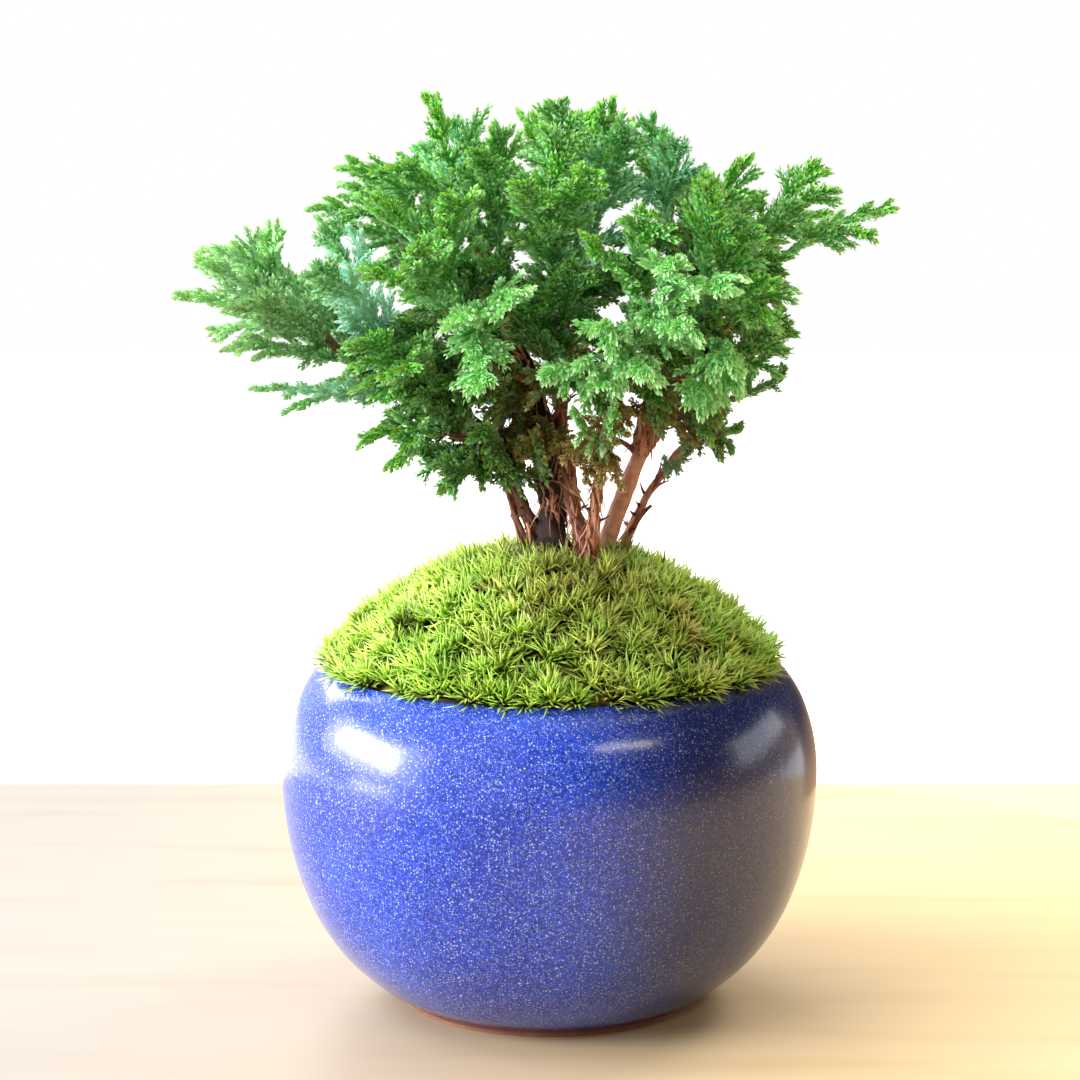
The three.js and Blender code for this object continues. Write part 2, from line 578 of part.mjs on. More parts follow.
// One rib with its shoots, grown as a single skin. The rib is three-sided, and each shoot rises from one
// of its side panels to a point. A side rib stays bare until it has left the main one.
function growRib(rib, mainRib, owner, random) {
  const length = rib.getLength();
  const ribEnd = 1 - TIP_LENGTH / length;
  const steps = Math.max(3, Math.round((length - TIP_LENGTH) / SHOOT_PITCH));
  const positions = [];
  const triangles = [];
  const addPoint = (point) => positions.push(point.x, point.y, point.z) / 3 - 1;
  const corner = (i) => new THREE.Vector3().fromArray(positions, 3 * i);
  const frameAt = (place) => {
    const point = rib.getPointAt(place);
    const along = rib.getTangentAt(place);
    const out = point.clone().sub(CROWN_CENTRE).normalize().addScaledVector(UP, FACE_UP);
    out.addScaledVector(along, -out.dot(along)).normalize();
    return { point, along, out, side: along.clone().cross(out) };
  };
  const ringAt = (place, radius) => {
    const { point, side, out } = frameAt(place);
    return RIB_CORNERS.map((degrees) => {
      const angle = THREE.MathUtils.degToRad(degrees);
      return addPoint(point.clone().addScaledVector(side, radius * Math.cos(angle))
        .addScaledVector(out, radius * Math.sin(angle)));
    });
  };
  const rings = [];
  for (let i = 0; i <= steps; i += 1) {
    const radius = i === 0 ? TWIG_RADIUS : RIB_RADIUS * (1 - (0.2 * i) / steps);
    rings.push(ringAt((ribEnd * i) / steps, radius));
  }
  triangles.push(rings[0][0], rings[0][2], rings[0][1]);
  for (let i = 0; i < steps; i += 1) {
    const frame = frameAt((ribEnd * (i + 0.5)) / steps);
    const fullness = 0.6 + 0.4 * Math.sin(Math.PI * (0.2 + (0.8 * i) / steps));
    for (let panel = 0; panel < 3; panel += 1) {
      const next = (panel + 1) % 3;
      const quad = [rings[i][panel], rings[i][next], rings[i + 1][next], rings[i + 1][panel]];
      const root = quad.map(corner).reduce((sum, point) => sum.add(point)).divideScalar(4);
      const outward = root.clone().sub(frame.point).normalize();
      const bare = i === 0 || (panel === 0 && i % 2 === 1) || isBeside(frame.point, mainRib);
      const shoot = bare ? null : findShoot(root, outward, frame, fullness, owner, random);
      if (!shoot) {
        triangles.push(quad[0], quad[1], quad[2], quad[0], quad[2], quad[3]);
      } else {
        const tip = addPoint(shoot);
        quad.forEach((from, m) => triangles.push(from, quad[(m + 1) % 4], tip));
      }
    }
  }
  const swell = ringAt(1 - (0.55 * TIP_LENGTH) / length, SHOOT_WIDTH);
  const tip = addPoint(rib.getPointAt(1));
  rings[steps].forEach((from, j) => {
    const k = (j + 1) % 3;
    triangles.push(from, rings[steps][k], swell[k], from, swell[k], swell[j], swell[j], swell[k], tip);
  });
  const geometry = new THREE.BufferGeometry();
  geometry.setAttribute('position', new THREE.Float32BufferAttribute(positions, 3));
  geometry.setIndex(triangles);
  return toSolid(geometry);
}

// Whether a point of a side rib is still close beside the main rib
function isBeside(point, mainRib) {
  const isNear = (other) => other.distanceTo(point) < SIDE_BARE;
  return mainRib !== null && mainRib.getSpacedPoints(12).some(isNear);
}

// A shoot's direction and length: it leans forward, and turns or shortens until it is clear of the rest
function findShoot(root, outward, frame, fullness, owner, random) {
  const wanted = SHOOT_LENGTH * fullness * (0.8 + 0.35 * random());
  const tilt = 1 + 0.15 * random();
  for (const shorten of [1, 0.75, 0.5]) {
    for (const turn of [0, 0.35, -0.25, 0.8]) {
      const direction = outward.clone().addScaledVector(frame.along, tilt + turn).normalize();
      const length = wanted * shorten;
      const start = root.clone().addScaledVector(direction, 0.15 * length);
      const tip = root.clone().addScaledVector(direction, length);
      if (isClear(start, tip, SHOOT_WIDTH, owner)) {
        rods.push({ a: start, b: tip, radius: SHOOT_WIDTH, owner });
        return tip;
      }
    }
  }
  return null;
}

function makePlant() {
  const sprays = layOutSprays();
  spreadRibs(sprays);
  let wood = rootShape(0, 0);
  const stems = [];
  for (const [name, [, startRadius, endRadius, sides, steps]] of Object.entries(LIMBS)) {
    const curve = limbCurves[name];
    wood = wood.add(limbSolid(curve, startRadius, endRadius, sides, steps, LIMB_LUMPS));
    addRods(curve, 0, 1, 12, Math.max(startRadius, endRadius), 'wood');
    if (STANDING_STEMS.includes(name)) {
      const radii = [startRadius + STEM_ROOM, endRadius + STEM_ROOM];
      stems.push(limbSolid(curve, ...radii, sides, steps, LIMB_LUMPS));
    }
  }
  for (const [limb, place, tip] of DEAD_TWIGS) {
    const root = limbCurves[limb].getPointAt(place);
    const bend = root.clone().lerp(vector(tip), 0.5);
    bend.z += DEAD_TWIG_RISE;
    const curve = new THREE.QuadraticBezierCurve3(root, bend, vector(tip));
    wood = wood.add(limbSolid(curve, ...DEAD_TWIG_RADII, 3, 2, 0));
    addRods(curve, 0, 1, 2, DEAD_TWIG_RADII[0], 'wood');
  }
  for (const spray of sprays) {
    const bend = spray.root.clone().lerp(spray.base, 0.5);
    bend.z += TWIG_RISE * spray.root.distanceTo(spray.base);
    const along = spray.ribs[0].getTangent(0);
    const end = spray.base.clone().addScaledVector(along, -TWIG_GAP);
    const curve = new THREE.QuadraticBezierCurve3(spray.root, bend, end);
    const steps = curve.getLength() > LONG_TWIG ? 2 : 1;
    wood = wood.add(limbSolid(curve, TWIG_RADIUS + 0.1, TWIG_RADIUS, 3, steps, 0));
    addRods(curve, 0, 1, 2, TWIG_RADIUS, 'wood');
    spray.ribs.forEach((rib) => addRods(rib, 0.08, 1, 6, RIB_ROOM, spray.name));
  }
  addPiece('wood', toGeometry(wood), 'bark');
  makeMoss(stems);
  sprays.forEach((spray, i) => {
    const random = makeRandom(101 + i);
    const [main] = spray.ribs;
    const solids = spray.ribs.map((rib) => growRib(rib, rib === main ? null : main, spray.name, random));
    const body = solids.reduce((sum, solid) => sum.add(solid));
    addPiece(`spray_${spray.name}`, toGeometry(largestBody(body)), spray.finish);
  });
}

makePot();
makeScreen();
makeSoil();
makePlant();

export default plant;
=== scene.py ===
"""Looks of the small sawara cypress in its glazed pot.

Metres, +Z up, the front faces -Y. The pot is a turned shell with a speckled glaze, the moss is some
four hundred star tufts, the stems are bark tubes with peeling strips, and each leafy spray is a rib with
side shoots covered in awl-shaped scale leaves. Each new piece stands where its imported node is.
"""

import bpy
import numpy as np
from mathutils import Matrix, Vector


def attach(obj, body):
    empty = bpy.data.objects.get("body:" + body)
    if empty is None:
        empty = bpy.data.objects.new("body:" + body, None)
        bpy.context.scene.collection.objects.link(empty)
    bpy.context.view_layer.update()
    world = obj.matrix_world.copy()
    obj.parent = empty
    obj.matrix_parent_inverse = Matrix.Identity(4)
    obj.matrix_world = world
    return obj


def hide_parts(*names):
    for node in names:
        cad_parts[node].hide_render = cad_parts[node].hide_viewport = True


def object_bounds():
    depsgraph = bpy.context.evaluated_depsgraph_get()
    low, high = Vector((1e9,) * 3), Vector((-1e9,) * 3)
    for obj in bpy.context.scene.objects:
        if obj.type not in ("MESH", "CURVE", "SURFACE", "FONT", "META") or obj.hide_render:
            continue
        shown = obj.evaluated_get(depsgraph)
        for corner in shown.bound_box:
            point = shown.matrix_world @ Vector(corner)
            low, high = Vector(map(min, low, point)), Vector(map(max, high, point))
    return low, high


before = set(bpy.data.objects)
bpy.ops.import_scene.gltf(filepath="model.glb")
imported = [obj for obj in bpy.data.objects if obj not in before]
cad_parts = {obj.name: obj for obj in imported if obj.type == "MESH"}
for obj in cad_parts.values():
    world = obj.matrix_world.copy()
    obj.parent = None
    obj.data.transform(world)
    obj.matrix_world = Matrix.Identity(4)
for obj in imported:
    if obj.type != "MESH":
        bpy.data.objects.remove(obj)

cad_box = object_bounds()
BOX_LOW, BOX_HIGH = (np.array(corner, float) for corner in cad_box)

MM = 0.001
TURN = 2 * np.pi
GOLDEN_TURN = np.pi * (3 - 5 ** 0.5)
UP = np.array([0.0, 0.0, 1.0])
FRONT = np.array([0.0, -1.0, 0.0])

# Start values of the random numbers; each limb and each spray adds its own number to its start value
BED_SEED = 5
TUFT_SEED = 11
LIMB_SEED = 31
LOOSE_BARK_SEED = 53
DRIED_SEED = 77
INNER_SEED = 91
SPRAY_SEED = 201

# The photograph's view: a camera 600 mm in front of the pot's axis, looking slightly down
CAMERA_PLACE = (-0.002, -0.600, 0.194)
CAMERA_PITCH = 9.1
CAMERA_LENS = 96.7
SENSOR_WIDTH = 36
CLIP_START = 0.01

# The table top: its colours, and in metres where it turns warm, where its far edge is, how soft that
# edge is, and where it fades to white on the left
TABLE_LEFT = "8c8379"
TABLE_RIGHT = "ecce9e"
TABLE_GRAIN = "ecd4b4"
TABLE_TURNS_WARM = (-0.15, 0.16)
TABLE_EDGE = 0.186
TABLE_EDGE_SOFT = 0.004
TABLE_LEFT_FADE = (-0.4, -0.9)
TABLE_POINTS = 96

# Two cards that the camera doesn't see: their shades, their ends as angles from +X and their radius in
# metres; and in radii where they darken upwards and inwards, and their height
CARD_PALE = "a48a66"
CARD_DARK = "2a241e"
CARD_ENDS = (-105, 60)
CARD_RADIUS = 1.5
RIM_CARD_ENDS = (33, 84)
RIM_CARD_RADIUS = 0.2
CARD_RISE = (0.0, 0.33)
CARD_FROM_LEFT = (-0.27, 0.23)
CARD_FROM_RIGHT = (0.99, 0.8)
CARD_HEIGHT = 1.6
CARD_POINTS = 25

# Lights: name, place, target, size, power, tint, and whether the glaze mirrors it
PLANT_MIDDLE = (0, 0, 0.09)
CROWN_RIGHT = (0.04, 0, 0.15)
CROWN_LEFT = (-0.04, 0, 0.15)
WHITE = (1, 1, 1)
LIGHTS = [
    ("window_left", (-1.15, -0.08, 0.38), PLANT_MIDDLE, (0.8, 0.26), 12, WHITE, True),
    ("halo_left", (-1.2, -0.1, 0.4), PLANT_MIDDLE, (1.4, 0.5), 8, WHITE, True),
    ("sill_left", (-1.1, -0.22, 0.05), PLANT_MIDDLE, (0.42, 0.08), 1.2, WHITE, True),
    ("lamp_front", (0.66, -0.88, 0.92), PLANT_MIDDLE, (0.6, 0.14), 2.6, (1.0, 0.93, 0.78), True),
    ("fill_left", (-1.05, -0.8, 0.85), PLANT_MIDDLE, (0.8, 0.6), 16, WHITE, False),
    ("window_behind", (-0.45, 0.75, 0.6), PLANT_MIDDLE, (0.8, 0.5), 8, WHITE, True),
    ("window_right", (1.3, 0.36, 0.36), PLANT_MIDDLE, (0.95, 0.3), 1.9, (0.9, 0.95, 1.0), True),
    ("crown_right", (0.7, 0.6, 0.9), CROWN_RIGHT, (0.5, 0.4), 9, WHITE, False),
    ("window_high", (-0.85, 0.05, 0.95), CROWN_LEFT, (0.5, 0.5), 7, WHITE, False),
]

# Pot, in millimetres: the outline of its outside as [radius, height], its wall, its floor, its rounded
# lip and its drain holes
POT_OUTLINE = [
    [31, 0], [31.6, 1.4], [37.6, 5], [45, 12], [50.6, 21], [54.4, 32],
    [56.2, 43], [56.2, 54], [53.8, 63.5], [50.2, 69.6], [46.8, 72.3],
]
POT_WALL = 4
POT_FLOOR = 5.5
FOOT_RINGS = (0, 18, 26, 29.5)
FLOOR_RINGS = (32, 20, 0)
MOUTH_RADIUS = 45.4
MOUTH_FOOT_HEIGHT = 69.2
LIP_ROUND = 1.0
LIP_ROUND_HEIGHT = 71.2
INSIDE_START, INSIDE_END = 0.26, 0.9
OUTSIDE_STEPS = 72
INSIDE_STEPS = 24
LIP_STEPS = 7
POT_SIDES = 144
DRAIN_HOLES = 3
DRAIN_HOLE_RADIUS = 4
DRAIN_HOLE_RING = 12
DRAIN_HOLE_SIDES = 40
CUT_ROOM = 2

# Specks in the glaze: cells a metre, size in a cell, share of cells left bare, and strength; and how far
# the cells are bent, in metres
GLAZE_SPECKS = ((2600, 0.42, 0.35, 0.55), (1600, 0.35, 0.5, 0.85), (420, 0.16, 0.86, 0.95))
GLAZE_SWAY = 0.0022

# Where painted shade turns the glaze from cobalt to a dark slaty blue along X, on the right side away
# from the window, and how far that line wanders; where the bare clay and the thin glaze over it end, in
# height, and how ragged their line is; all in metres
GLAZE_PAINTED_SHADE_FROM = (0.004, 0.036)
GLAZE_WANDER = 0.008
BARE_CLAY = (0.0022, 0.0016)
THIN_GLAZE = (0.0046, 0.0018)
FOOT_RAGGED = 0.0012

# Moss, in millimetres: the dome of the tips, the bed under them, the tufts, and the pot's lip that the
# leaves lie on, as radii and heights
MOSS_RADIUS = 47.2
MOSS_FOOT_RADIUS = 48.5
MOSS_EDGE_HEIGHT = 73
MOSS_RISE = 23.6
MOSS_POWER = 2.4
TUFT_HEIGHT = 3.7
SOIL_DEPTH = 7.6
SOIL_RIM_RISE = 1.6
BED_TOP_STEPS = 34
BED_UNDER_STEPS = 16
BED_SIDES = 120
BED_ROUGHNESS = 0.016
TUFTS = 430
TUFT_LEAVES = 42
TUFT_LEAF_LENGTH = 6.0
TUFT_LEAF_WIDTH = 0.68
LIP_RADII = (44.4, 45.4, 46.8, 50.2, 53.8)
LIP_HEIGHTS = (70.2, 72.6, 72.8, 70.1, 64.0)

# The ring at the dome's edge where tufts move out by a share and turn up, their room round a stem, and
# the dry patches: strength, middle along X and Y, and reach along X and Y
TUFT_EDGE_START = 34
TUFT_EDGE_WIDTH = 12
TUFT_EDGE_OUT = 0.018
TUFT_EDGE_UP = 0.7
TUFT_STEM_ROOM = 0.8
DRY_PATCHES = [(0.65, 20, -26, 24, 22), (0.6, 1, -16, 7, 7), (0.35, 0, 0, 20, 20)]

# How far a tuft's leaves stand off its axis, in degrees, and how far they curl on: for its inner leaves,
# and what its outer ones add
TUFT_SPREAD = (4, 58)
TUFT_CURL = (0.2, 0.75)

# A moss leaf: how long it is to its bend and from there to its tip, as shares of its length; three points
# round it, as shares of its width; its size at the root and at the bend; and its faces
MOSS_LEAF_SPANS = (0.55, 0.5)
MOSS_LEAF_RING = [[-0.5, 0.0], [0.5, 0.0], [0.0, 0.34]]
MOSS_LEAF_SHARES = (0.8, 1.0)
MOSS_LEAF_FACES = [
    [0, 2, 1], [0, 1, 4], [0, 4, 3], [1, 2, 5], [1, 5, 4],
    [2, 0, 3], [2, 3, 5], [3, 4, 6], [4, 5, 6], [5, 3, 6],
]

# Stems and limbs, in millimetres: points, and the radius at each end
LIMBS = {
    "leftThin": ([[-2, 1, 82], [-6.2, 2, 99.7], [-8, 1, 106], [-10, 0, 114], [-15, -7, 119.5],
                  [-21, -12, 122]], 0.95, 0.6),
    "leftArm": ([[0, 0, 82], [-4, 1, 101], [-6.5, 0, 108], [-9.5, -1, 117], [-19, -4, 125.5],
                 [-33, -6, 133], [-43, -6, 138], [-49, -5, 144]], 1.4, 0.8),
    "darkTrunk": ([[0.5, 0, 80], [0.7, 0, 102], [0, 1, 110], [-1, 2, 119], [-4, 2, 130], [-8, 1, 141],
                   [-12, 0, 151], [-15, -1, 158]], 3.7, 1),
    "middle": ([[7, -5, 81], [6.5, -6, 99], [5.5, -5, 104], [4, -4, 111], [2.5, -2, 119], [2.5, 0, 130],
                [3, 3, 143], [4, 3, 156]], 1.8, 0.8),
    "peeling": ([[7.5, -7, 82], [9, -9, 101], [9.5, -10, 108], [10.5, -12, 115], [12, -17, 125],
                 [14, -22, 134], [16, -25, 143]], 1.35, 0.7),
    "pinkTrunk": ([[8.5, 3, 80], [13, 4, 100], [15.5, 5, 106], [17.5, 6, 111.5], [19.5, 6, 116.5],
                   [22, 6, 125], [26, 5, 135], [31.5, 3, 144], [38, 1, 151], [45, 0, 156]], 2.2, 0.9),
    "rightThin": ([[11, 3, 82], [17.5, 6, 100], [20, 7, 105], [22.5, 8, 109], [26, 9, 113.5],
                   [31, 9, 119], [35, 8, 125], [38, 7, 130]], 1.1, 0.6),
    "leftBack": ([[-4, 2, 130], [-10, 11, 138], [-17, 19, 145], [-23, 25, 151]], 1.5, 0.8),
    "leftFront": ([[-4, 2, 130], [-10, -8, 136], [-15, -15, 141], [-20, -21, 147]], 1.5, 0.8),
    "middleBack": ([[2.5, 0, 130], [3, 11, 137], [3, 21, 144], [2, 28, 150]], 1.3, 0.8),
    "rightUp": ([[26, 5, 135], [28, 3, 144], [27, 1, 152], [25, 0, 159]], 1.4, 0.8),
    "rightFront": ([[22, 6, 125], [26, -4, 132], [31, -13, 138], [35, -20, 144]], 1.4, 0.8),
    "rightBack": ([[26, 5, 135], [30, 14, 140], [34, 22, 145]], 1.3, 0.8),
    "rightFork": ([[19, 6, 115], [21.5, 6, 122], [24, 5, 129], [26.5, 4, 135]], 1.9, 3.9),
}

# Bark: darkness, pinkness and roughness of a stem; its numbers of strips, fibres and stubs; and of both
# kinds of loose bark the span on the stem, length, width, lift and hang. The young wood starts between
# two heights in metres
STANDING_STEMS = ("leftThin", "leftArm", "darkTrunk", "middle", "peeling", "pinkTrunk", "rightThin")
BARK_LOOKS = {
    "leftThin": (0.25, 0.1, 1.9), "leftArm": (0.6, 0.0, 2.0), "darkTrunk": (1.0, 0.0, 1.7),
    "middle": (0.4, 0.15, 1.9), "peeling": (0.0, 0.15, 2.2), "pinkTrunk": (0.0, 0.9, 0.4),
    "rightThin": (0.2, 0.5, 1.8), "rightFork": (0.1, 0.1, 1.6),
}
LOOSE_BARK = {
    "leftThin": (16, 6, 8), "leftArm": (24, 10, 8), "darkTrunk": (80, 50, 5), "middle": (60, 44, 8),
    "peeling": (54, 30, 12), "pinkTrunk": (5, 3, 2), "rightThin": (16, 4, 12), "rightFork": (40, 50, 2),
}
USUAL_BARK = (0.3, 0.0, 1.0)
YOUNG_WOOD = (0.134, 0.152)
BARK_STRIP = ((0.2, 0.75), 6, 0.55, 2.8, 0.4)
BARK_FIBRE = ((0.3, 0.8), 8, 0.2, 4.0, 2.5)
STUB_SPAN = (0.25, 0.75)

# The bark's ripple: waves round the stem, length of a wave along it, and height as a share of the radius
BARK_RIPPLES = [(1, 9, 0.10), (2, 14, 0.08), (3, 8, 0.07), (5, 4, 0.07), (7, 2.2, 0.06)]

# Bare dead twigs: limb, place along it and tip
DEAD_TWIGS = [
    ("darkTrunk", 0.45, [-12, -8, 122]), ("darkTrunk", 0.5, [4, -14, 129]),
    ("middle", 0.42, [12, 4, 125]), ("pinkTrunk", 0.42, [12, -2, 120]),
    ("leftArm", 0.42, [-22, 4, 122]), ("rightThin", 0.3, [21.5, 5, 104.5]),
]
DEAD_TWIG_RADII = (0.7, 0.35)
TWIG_ARCH = 1.5

# Dried sprigs that hang from the wood: limb, span along it and number
DEAD_SPRIGS = [
    ("darkTrunk", (0.44, 0.68), 11), ("middle", (0.42, 0.68), 11), ("peeling", (0.55, 0.85), 8),
    ("leftArm", (0.42, 0.54), 3), ("pinkTrunk", (0.56, 0.72), 6), ("rightFork", (0.4, 1.0), 8),
]

# Leafy sprays, in millimetres: limb, place along it, finish, and the tip of each rib. The finish of the
# inner, back and low sprays is the copy darkened as painted shade, and that of the front-centre sprays
# the copy made paler as painted light
SPRAYS = {
    "left_arm_end": ("leftArm", 0.94, "fresh", [-77.5, -6, 149], [-71, -13, 156.5], [-69, -4, 142]),
    "left_arm_top": ("leftArm", 1, "fresh", [-71.5, 8, 156.5], [-59, 4, 161], [-65, -6, 158.5]),
    "left_arm_front": ("leftArm", 0.85, "deep", [-63.5, -19, 139.5], [-61, -25, 149]),
    "left_arm_low": ("leftArm", 0.72, "blue", [-61, -7, 130.5], [-53.5, -17, 127]),
    "left_arm_back": ("leftArm", 0.84, "deep", [-59, 20, 152], [-52, 27, 146]),
    "left_arm_under": ("leftArm", 0.62, "deep", [-46, 13, 130], [-40, 27, 136]),
    "left_inner": ("leftArm", 0.75, "blue", [-46, -31, 157], [-46, -11, 164]),
    "left_inner_front": ("leftArm", 0.56, "fresh", [-38, -33, 142], [-28, -38, 137], [-37, -22, 132.5]),
    "left_low": ("leftThin", 1, "fresh", [-36.5, -22, 122], [-30, -30, 118.5]),
    "left_low_inner": ("leftThin", 0.75, "deep", [-20, -24, 116.5], [-25.5, -6, 117.5]),
    "left_low_front": ("leftThin", 0.62, "deep", [-15.5, -27, 123]),
    "shoulder_left": ("darkTrunk", 0.95, "fresh", [-40.5, -8, 176], [-47.5, -3, 167.5]),
    "shoulder_left_back": ("darkTrunk", 0.88, "deep", [-43, 14, 171], [-45, 18, 162]),
    "spike_left": ("darkTrunk", 1, "fresh", [-25.5, -2, 191], [-32, -17, 175.5]),
    "top_left": ("darkTrunk", 0.97, "blue", [-20, 17, 184], [-27, 26, 178]),
    "top_left_middle": ("darkTrunk", 0.9, "fresh", [-10, -9, 183], [-13.5, -22, 179]),
    "front_upper_left": ("leftFront", 0.85, "fresh", [-34, -34, 170], [-19, -40, 171]),
    "front_left": ("leftFront", 1, "fresh", [-34, -44, 156], [-25, -48, 161]),
    "front_left_centre": ("leftFront", 0.7, "bright", [-17, -47, 148], [-6, -50, 152], [-13, -43, 134]),
    "back_left": ("leftBack", 1, "deep", [-47, 40, 160], [-34, 41, 172], [-38, 48, 150]),
    "back_left_low": ("leftBack", 0.7, "deep", [-27, 49, 144], [-34, 40, 139]),
    "top_middle": ("middle", 1, "fresh", [-4.5, 3, 184.5], [2, -12, 188.5], [-2, 20, 182.5]),
    "top_right_middle": ("middle", 0.94, "fresh", [7.5, 18, 186], [13, 3, 187.5], [16.5, 14, 183]),
    "front_upper": ("middle", 0.86, "fresh", [-5, -40, 173], [7, -42, 176], [0, -28, 183]),
    "front_high": ("middle", 0.9, "blue", [15, -26, 183]),
    "back_upper": ("middleBack", 0.85, "deep", [3, 39, 178], [-14, 42, 173], [-17, 33, 180]),
    "back": ("middleBack", 1, "deep", [-7, 54, 157], [13, 54, 147], [4, 53, 166]),
    "back_low": ("middleBack", 0.55, "deep", [-12, 45, 130], [5, 47, 132]),
    "centre_hanging": ("peeling", 0.75, "bright", [-2, -46, 137], [6, -49, 140], [11, -46, 135]),
    "centre_fan": ("peeling", 0.9, "bright", [18, -51, 138], [10, -50, 147]),
    "centre_low": ("peeling", 0.55, "bright", [12.5, -35, 130], [4.5, -33, 129]),
    "fan_up": ("peeling", 1, "fresh", [18, -44, 168], [8, -47, 162]),
    "fan_right": ("peeling", 0.96, "bright", [26, -53, 147], [34, -50, 156], [24, -51, 160]),
    "top_right": ("rightUp", 1, "blue", [21, 7, 184], [26, -10, 179.5], [11, -6, 173]),
    "upper_right": ("rightUp", 0.85, "fresh", [39.5, 2, 175], [36.5, -14, 170]),
    "upper_right_back": ("rightUp", 0.75, "deep", [42.5, 19, 168.5], [33.5, 25, 171.5]),
    "right_tips": ("pinkTrunk", 0.92, "fresh", [56, 9, 175.5], [57, -6, 171], [57.5, 11, 165.5]),
    "right_end": ("pinkTrunk", 1, "fresh", [72, 0, 167], [65.5, -11, 162.5]),
    "right_inner": ("pinkTrunk", 0.8, "deep", [46, -19, 158], [45.5, -11, 152]),
    "front_upper_right": ("rightFront", 0.85, "fresh", [30, -40, 172], [39, -35, 165], [30, -26, 174]),
    "front_right": ("rightFront", 1, "fresh", [42.5, -33, 152.5], [40.5, -41, 148]),
    "hanging_right": ("rightFront", 0.75, "bright", [34, -45, 139.5], [28.5, -41, 130.5], [36, -33, 134]),
    "back_upper_right": ("rightBack", 0.75, "deep", [29, 42, 171], [19, 38, 178]),
    "back_right": ("rightBack", 1, "deep", [48, 40, 158], [48, 34, 146], [38, 48, 152]),
    "back_right_low": ("rightBack", 0.5, "deep", [31, 44, 130], [22, 49, 138]),
    "right_side": ("rightThin", 1, "fresh", [48.5, -4, 143], [46.5, 14, 138]),
    "right_low": ("rightThin", 0.92, "deep", [49, 6, 133.5], [47, 20, 135.5]),
    "right_under": ("rightThin", 0.78, "deep", [40, 15, 119.5]),
    "right_under_front": ("rightThin", 0.68, "fresh", [35.5, -19, 128.5], [31.5, -20, 122.5]),
    "right_stub": ("rightThin", 0.58, "blue", [29, -7, 118]),
    "inner_front": ("middle", 0.58, "deep", [-4, -31, 149], [5, -34, 157], [-11, -30, 158]),
    "inner_left": ("darkTrunk", 0.55, "deep", [-23, -21, 133], [-30, -16, 144], [-31, 4, 139]),
    "inner_right": ("pinkTrunk", 0.5, "deep", [26, -27, 139], [20, -29, 131]),
    "inner_back_left": ("leftBack", 0.3, "deep", [-20, 33, 137], [-28, 19, 133]),
    "inner_back_right": ("pinkTrunk", 0.58, "deep", [22, 32, 143], [35, 31, 136]),
}

# Short sprigs on the inner wood: limb, span along it and number
INNER_SPRIGS = [
    ("leftThin", (0.55, 1.0), 6), ("leftArm", (0.36, 0.95), 12), ("darkTrunk", (0.6, 1.0), 8),
    ("middle", (0.62, 1.0), 10), ("peeling", (0.72, 1.0), 4), ("pinkTrunk", (0.6, 0.95), 10),
    ("leftBack", (0.2, 1.0), 4), ("leftFront", (0.2, 1.0), 4), ("middleBack", (0.2, 1.0), 4),
    ("rightUp", (0.2, 1.0), 8), ("rightFront", (0.3, 1.0), 4), ("rightBack", (0.2, 1.0), 4),
    ("rightThin", (0.7, 1.0), 3),
]

# The habit of both kinds of sprig: the spread and the pull of its way on each axis, how far it follows
# its limb, its length and its sag; its shoots' breadth, droop, pairs of leaves and size of leaf; and its
# twig's radii and marks
DRIED_HABIT = {
    "spread": (1, 0.9, 0.45), "pull": (0, -0.7, -0.1), "follow": 0, "reach": (7, 15), "sag": 3,
    "breadth": 0.45, "droop": 0.3, "pairs": (5, 5), "leaf": 0.62, "twig": (0.5, 0.25),
    "twig_marks": (0.1, 0.3, 0.0),
}
INNER_HABIT = {
    "spread": (1, 1, 0.6), "pull": (0, 0, 0.25), "follow": 0.45, "reach": (11, 19), "sag": 0,
    "breadth": 0.85, "droop": 0.16, "pairs": (9, 5), "leaf": 0.9, "twig": (0.5, 0.3),
    "twig_marks": (0.2, 0.3, 0.0),
}

# A spray's twig and its ribs, in millimetres: where side ribs start along the main one, how far ribs and
# twigs are raised in the middle, and how square a twig leaves its limb
LEAFY_LENGTH = 36
RIB_RISE = 0.16
SIDE_PLACES = (0, 0.2, 0.36)
LEAVE_ACROSS = 0.7
TWIG_RADII = (0.72, 0.5)
TWIG_RISE = 0.06

# How ribs are bent apart: the room they want, the places looked at, and the rounds and steps
RIB_SPACING = 7
RIB_SPOTS = (0.3, 0.45, 0.6, 0.75, 0.9)
SPREAD_ROUNDS = 24
SPREAD_SHARE = 0.12
SPREAD_STEP = 1.5

# The middle that the ribs face away from, in millimetres, and how far they face up
CROWN_CENTRE = np.array([0.0, 0.0, 132.0])
FACE_UP = 0.7

# Shoots and their leaves, in millimetres; a shootlet has a spot on its shoot, a share of its length
# and a side
SHOOT_PITCH = 1.95
SHOOT_LENGTH = 10.5
SHOOTLETS = [(0.28, 0.58, -1), (0.52, 0.46, 1)]
UPRIGHT_EVERY = 3
UPRIGHT_TURN = 62
UPRIGHT_SHARE = 0.72
SHOOT_PAIRS = 11
SHOOTLET_PAIRS = 6
RIB_PAIRS = 11
CORE_RADIUS = 0.55
LEAF_LENGTH = 1.8
LEAF_WIDTH = 1.1
LEAF_WIDEST = 0.42
LEAF_ARCH = 0.2
LEAF_FACES = [[2, 0, 1], [3, 1, 0], [2, 1, 3], [2, 3, 0]]
FULL_SHOOT = 4.0
OUTSIDE_ROOM = 1.2

# Degrees: how far a shoot and a shootlet lean off, and how much less a shoot leans at the rib's end; how
# far a leaf stands off at its shoot's foot, and how much less at the tip
SHOOT_LEAN = (36, 54)
SHOOT_LEAN_LOSS = 14
SHOOTLET_LEAN = (32, 46)
LEAF_LEAN = 36
LEAF_LEAN_LOSS = 18
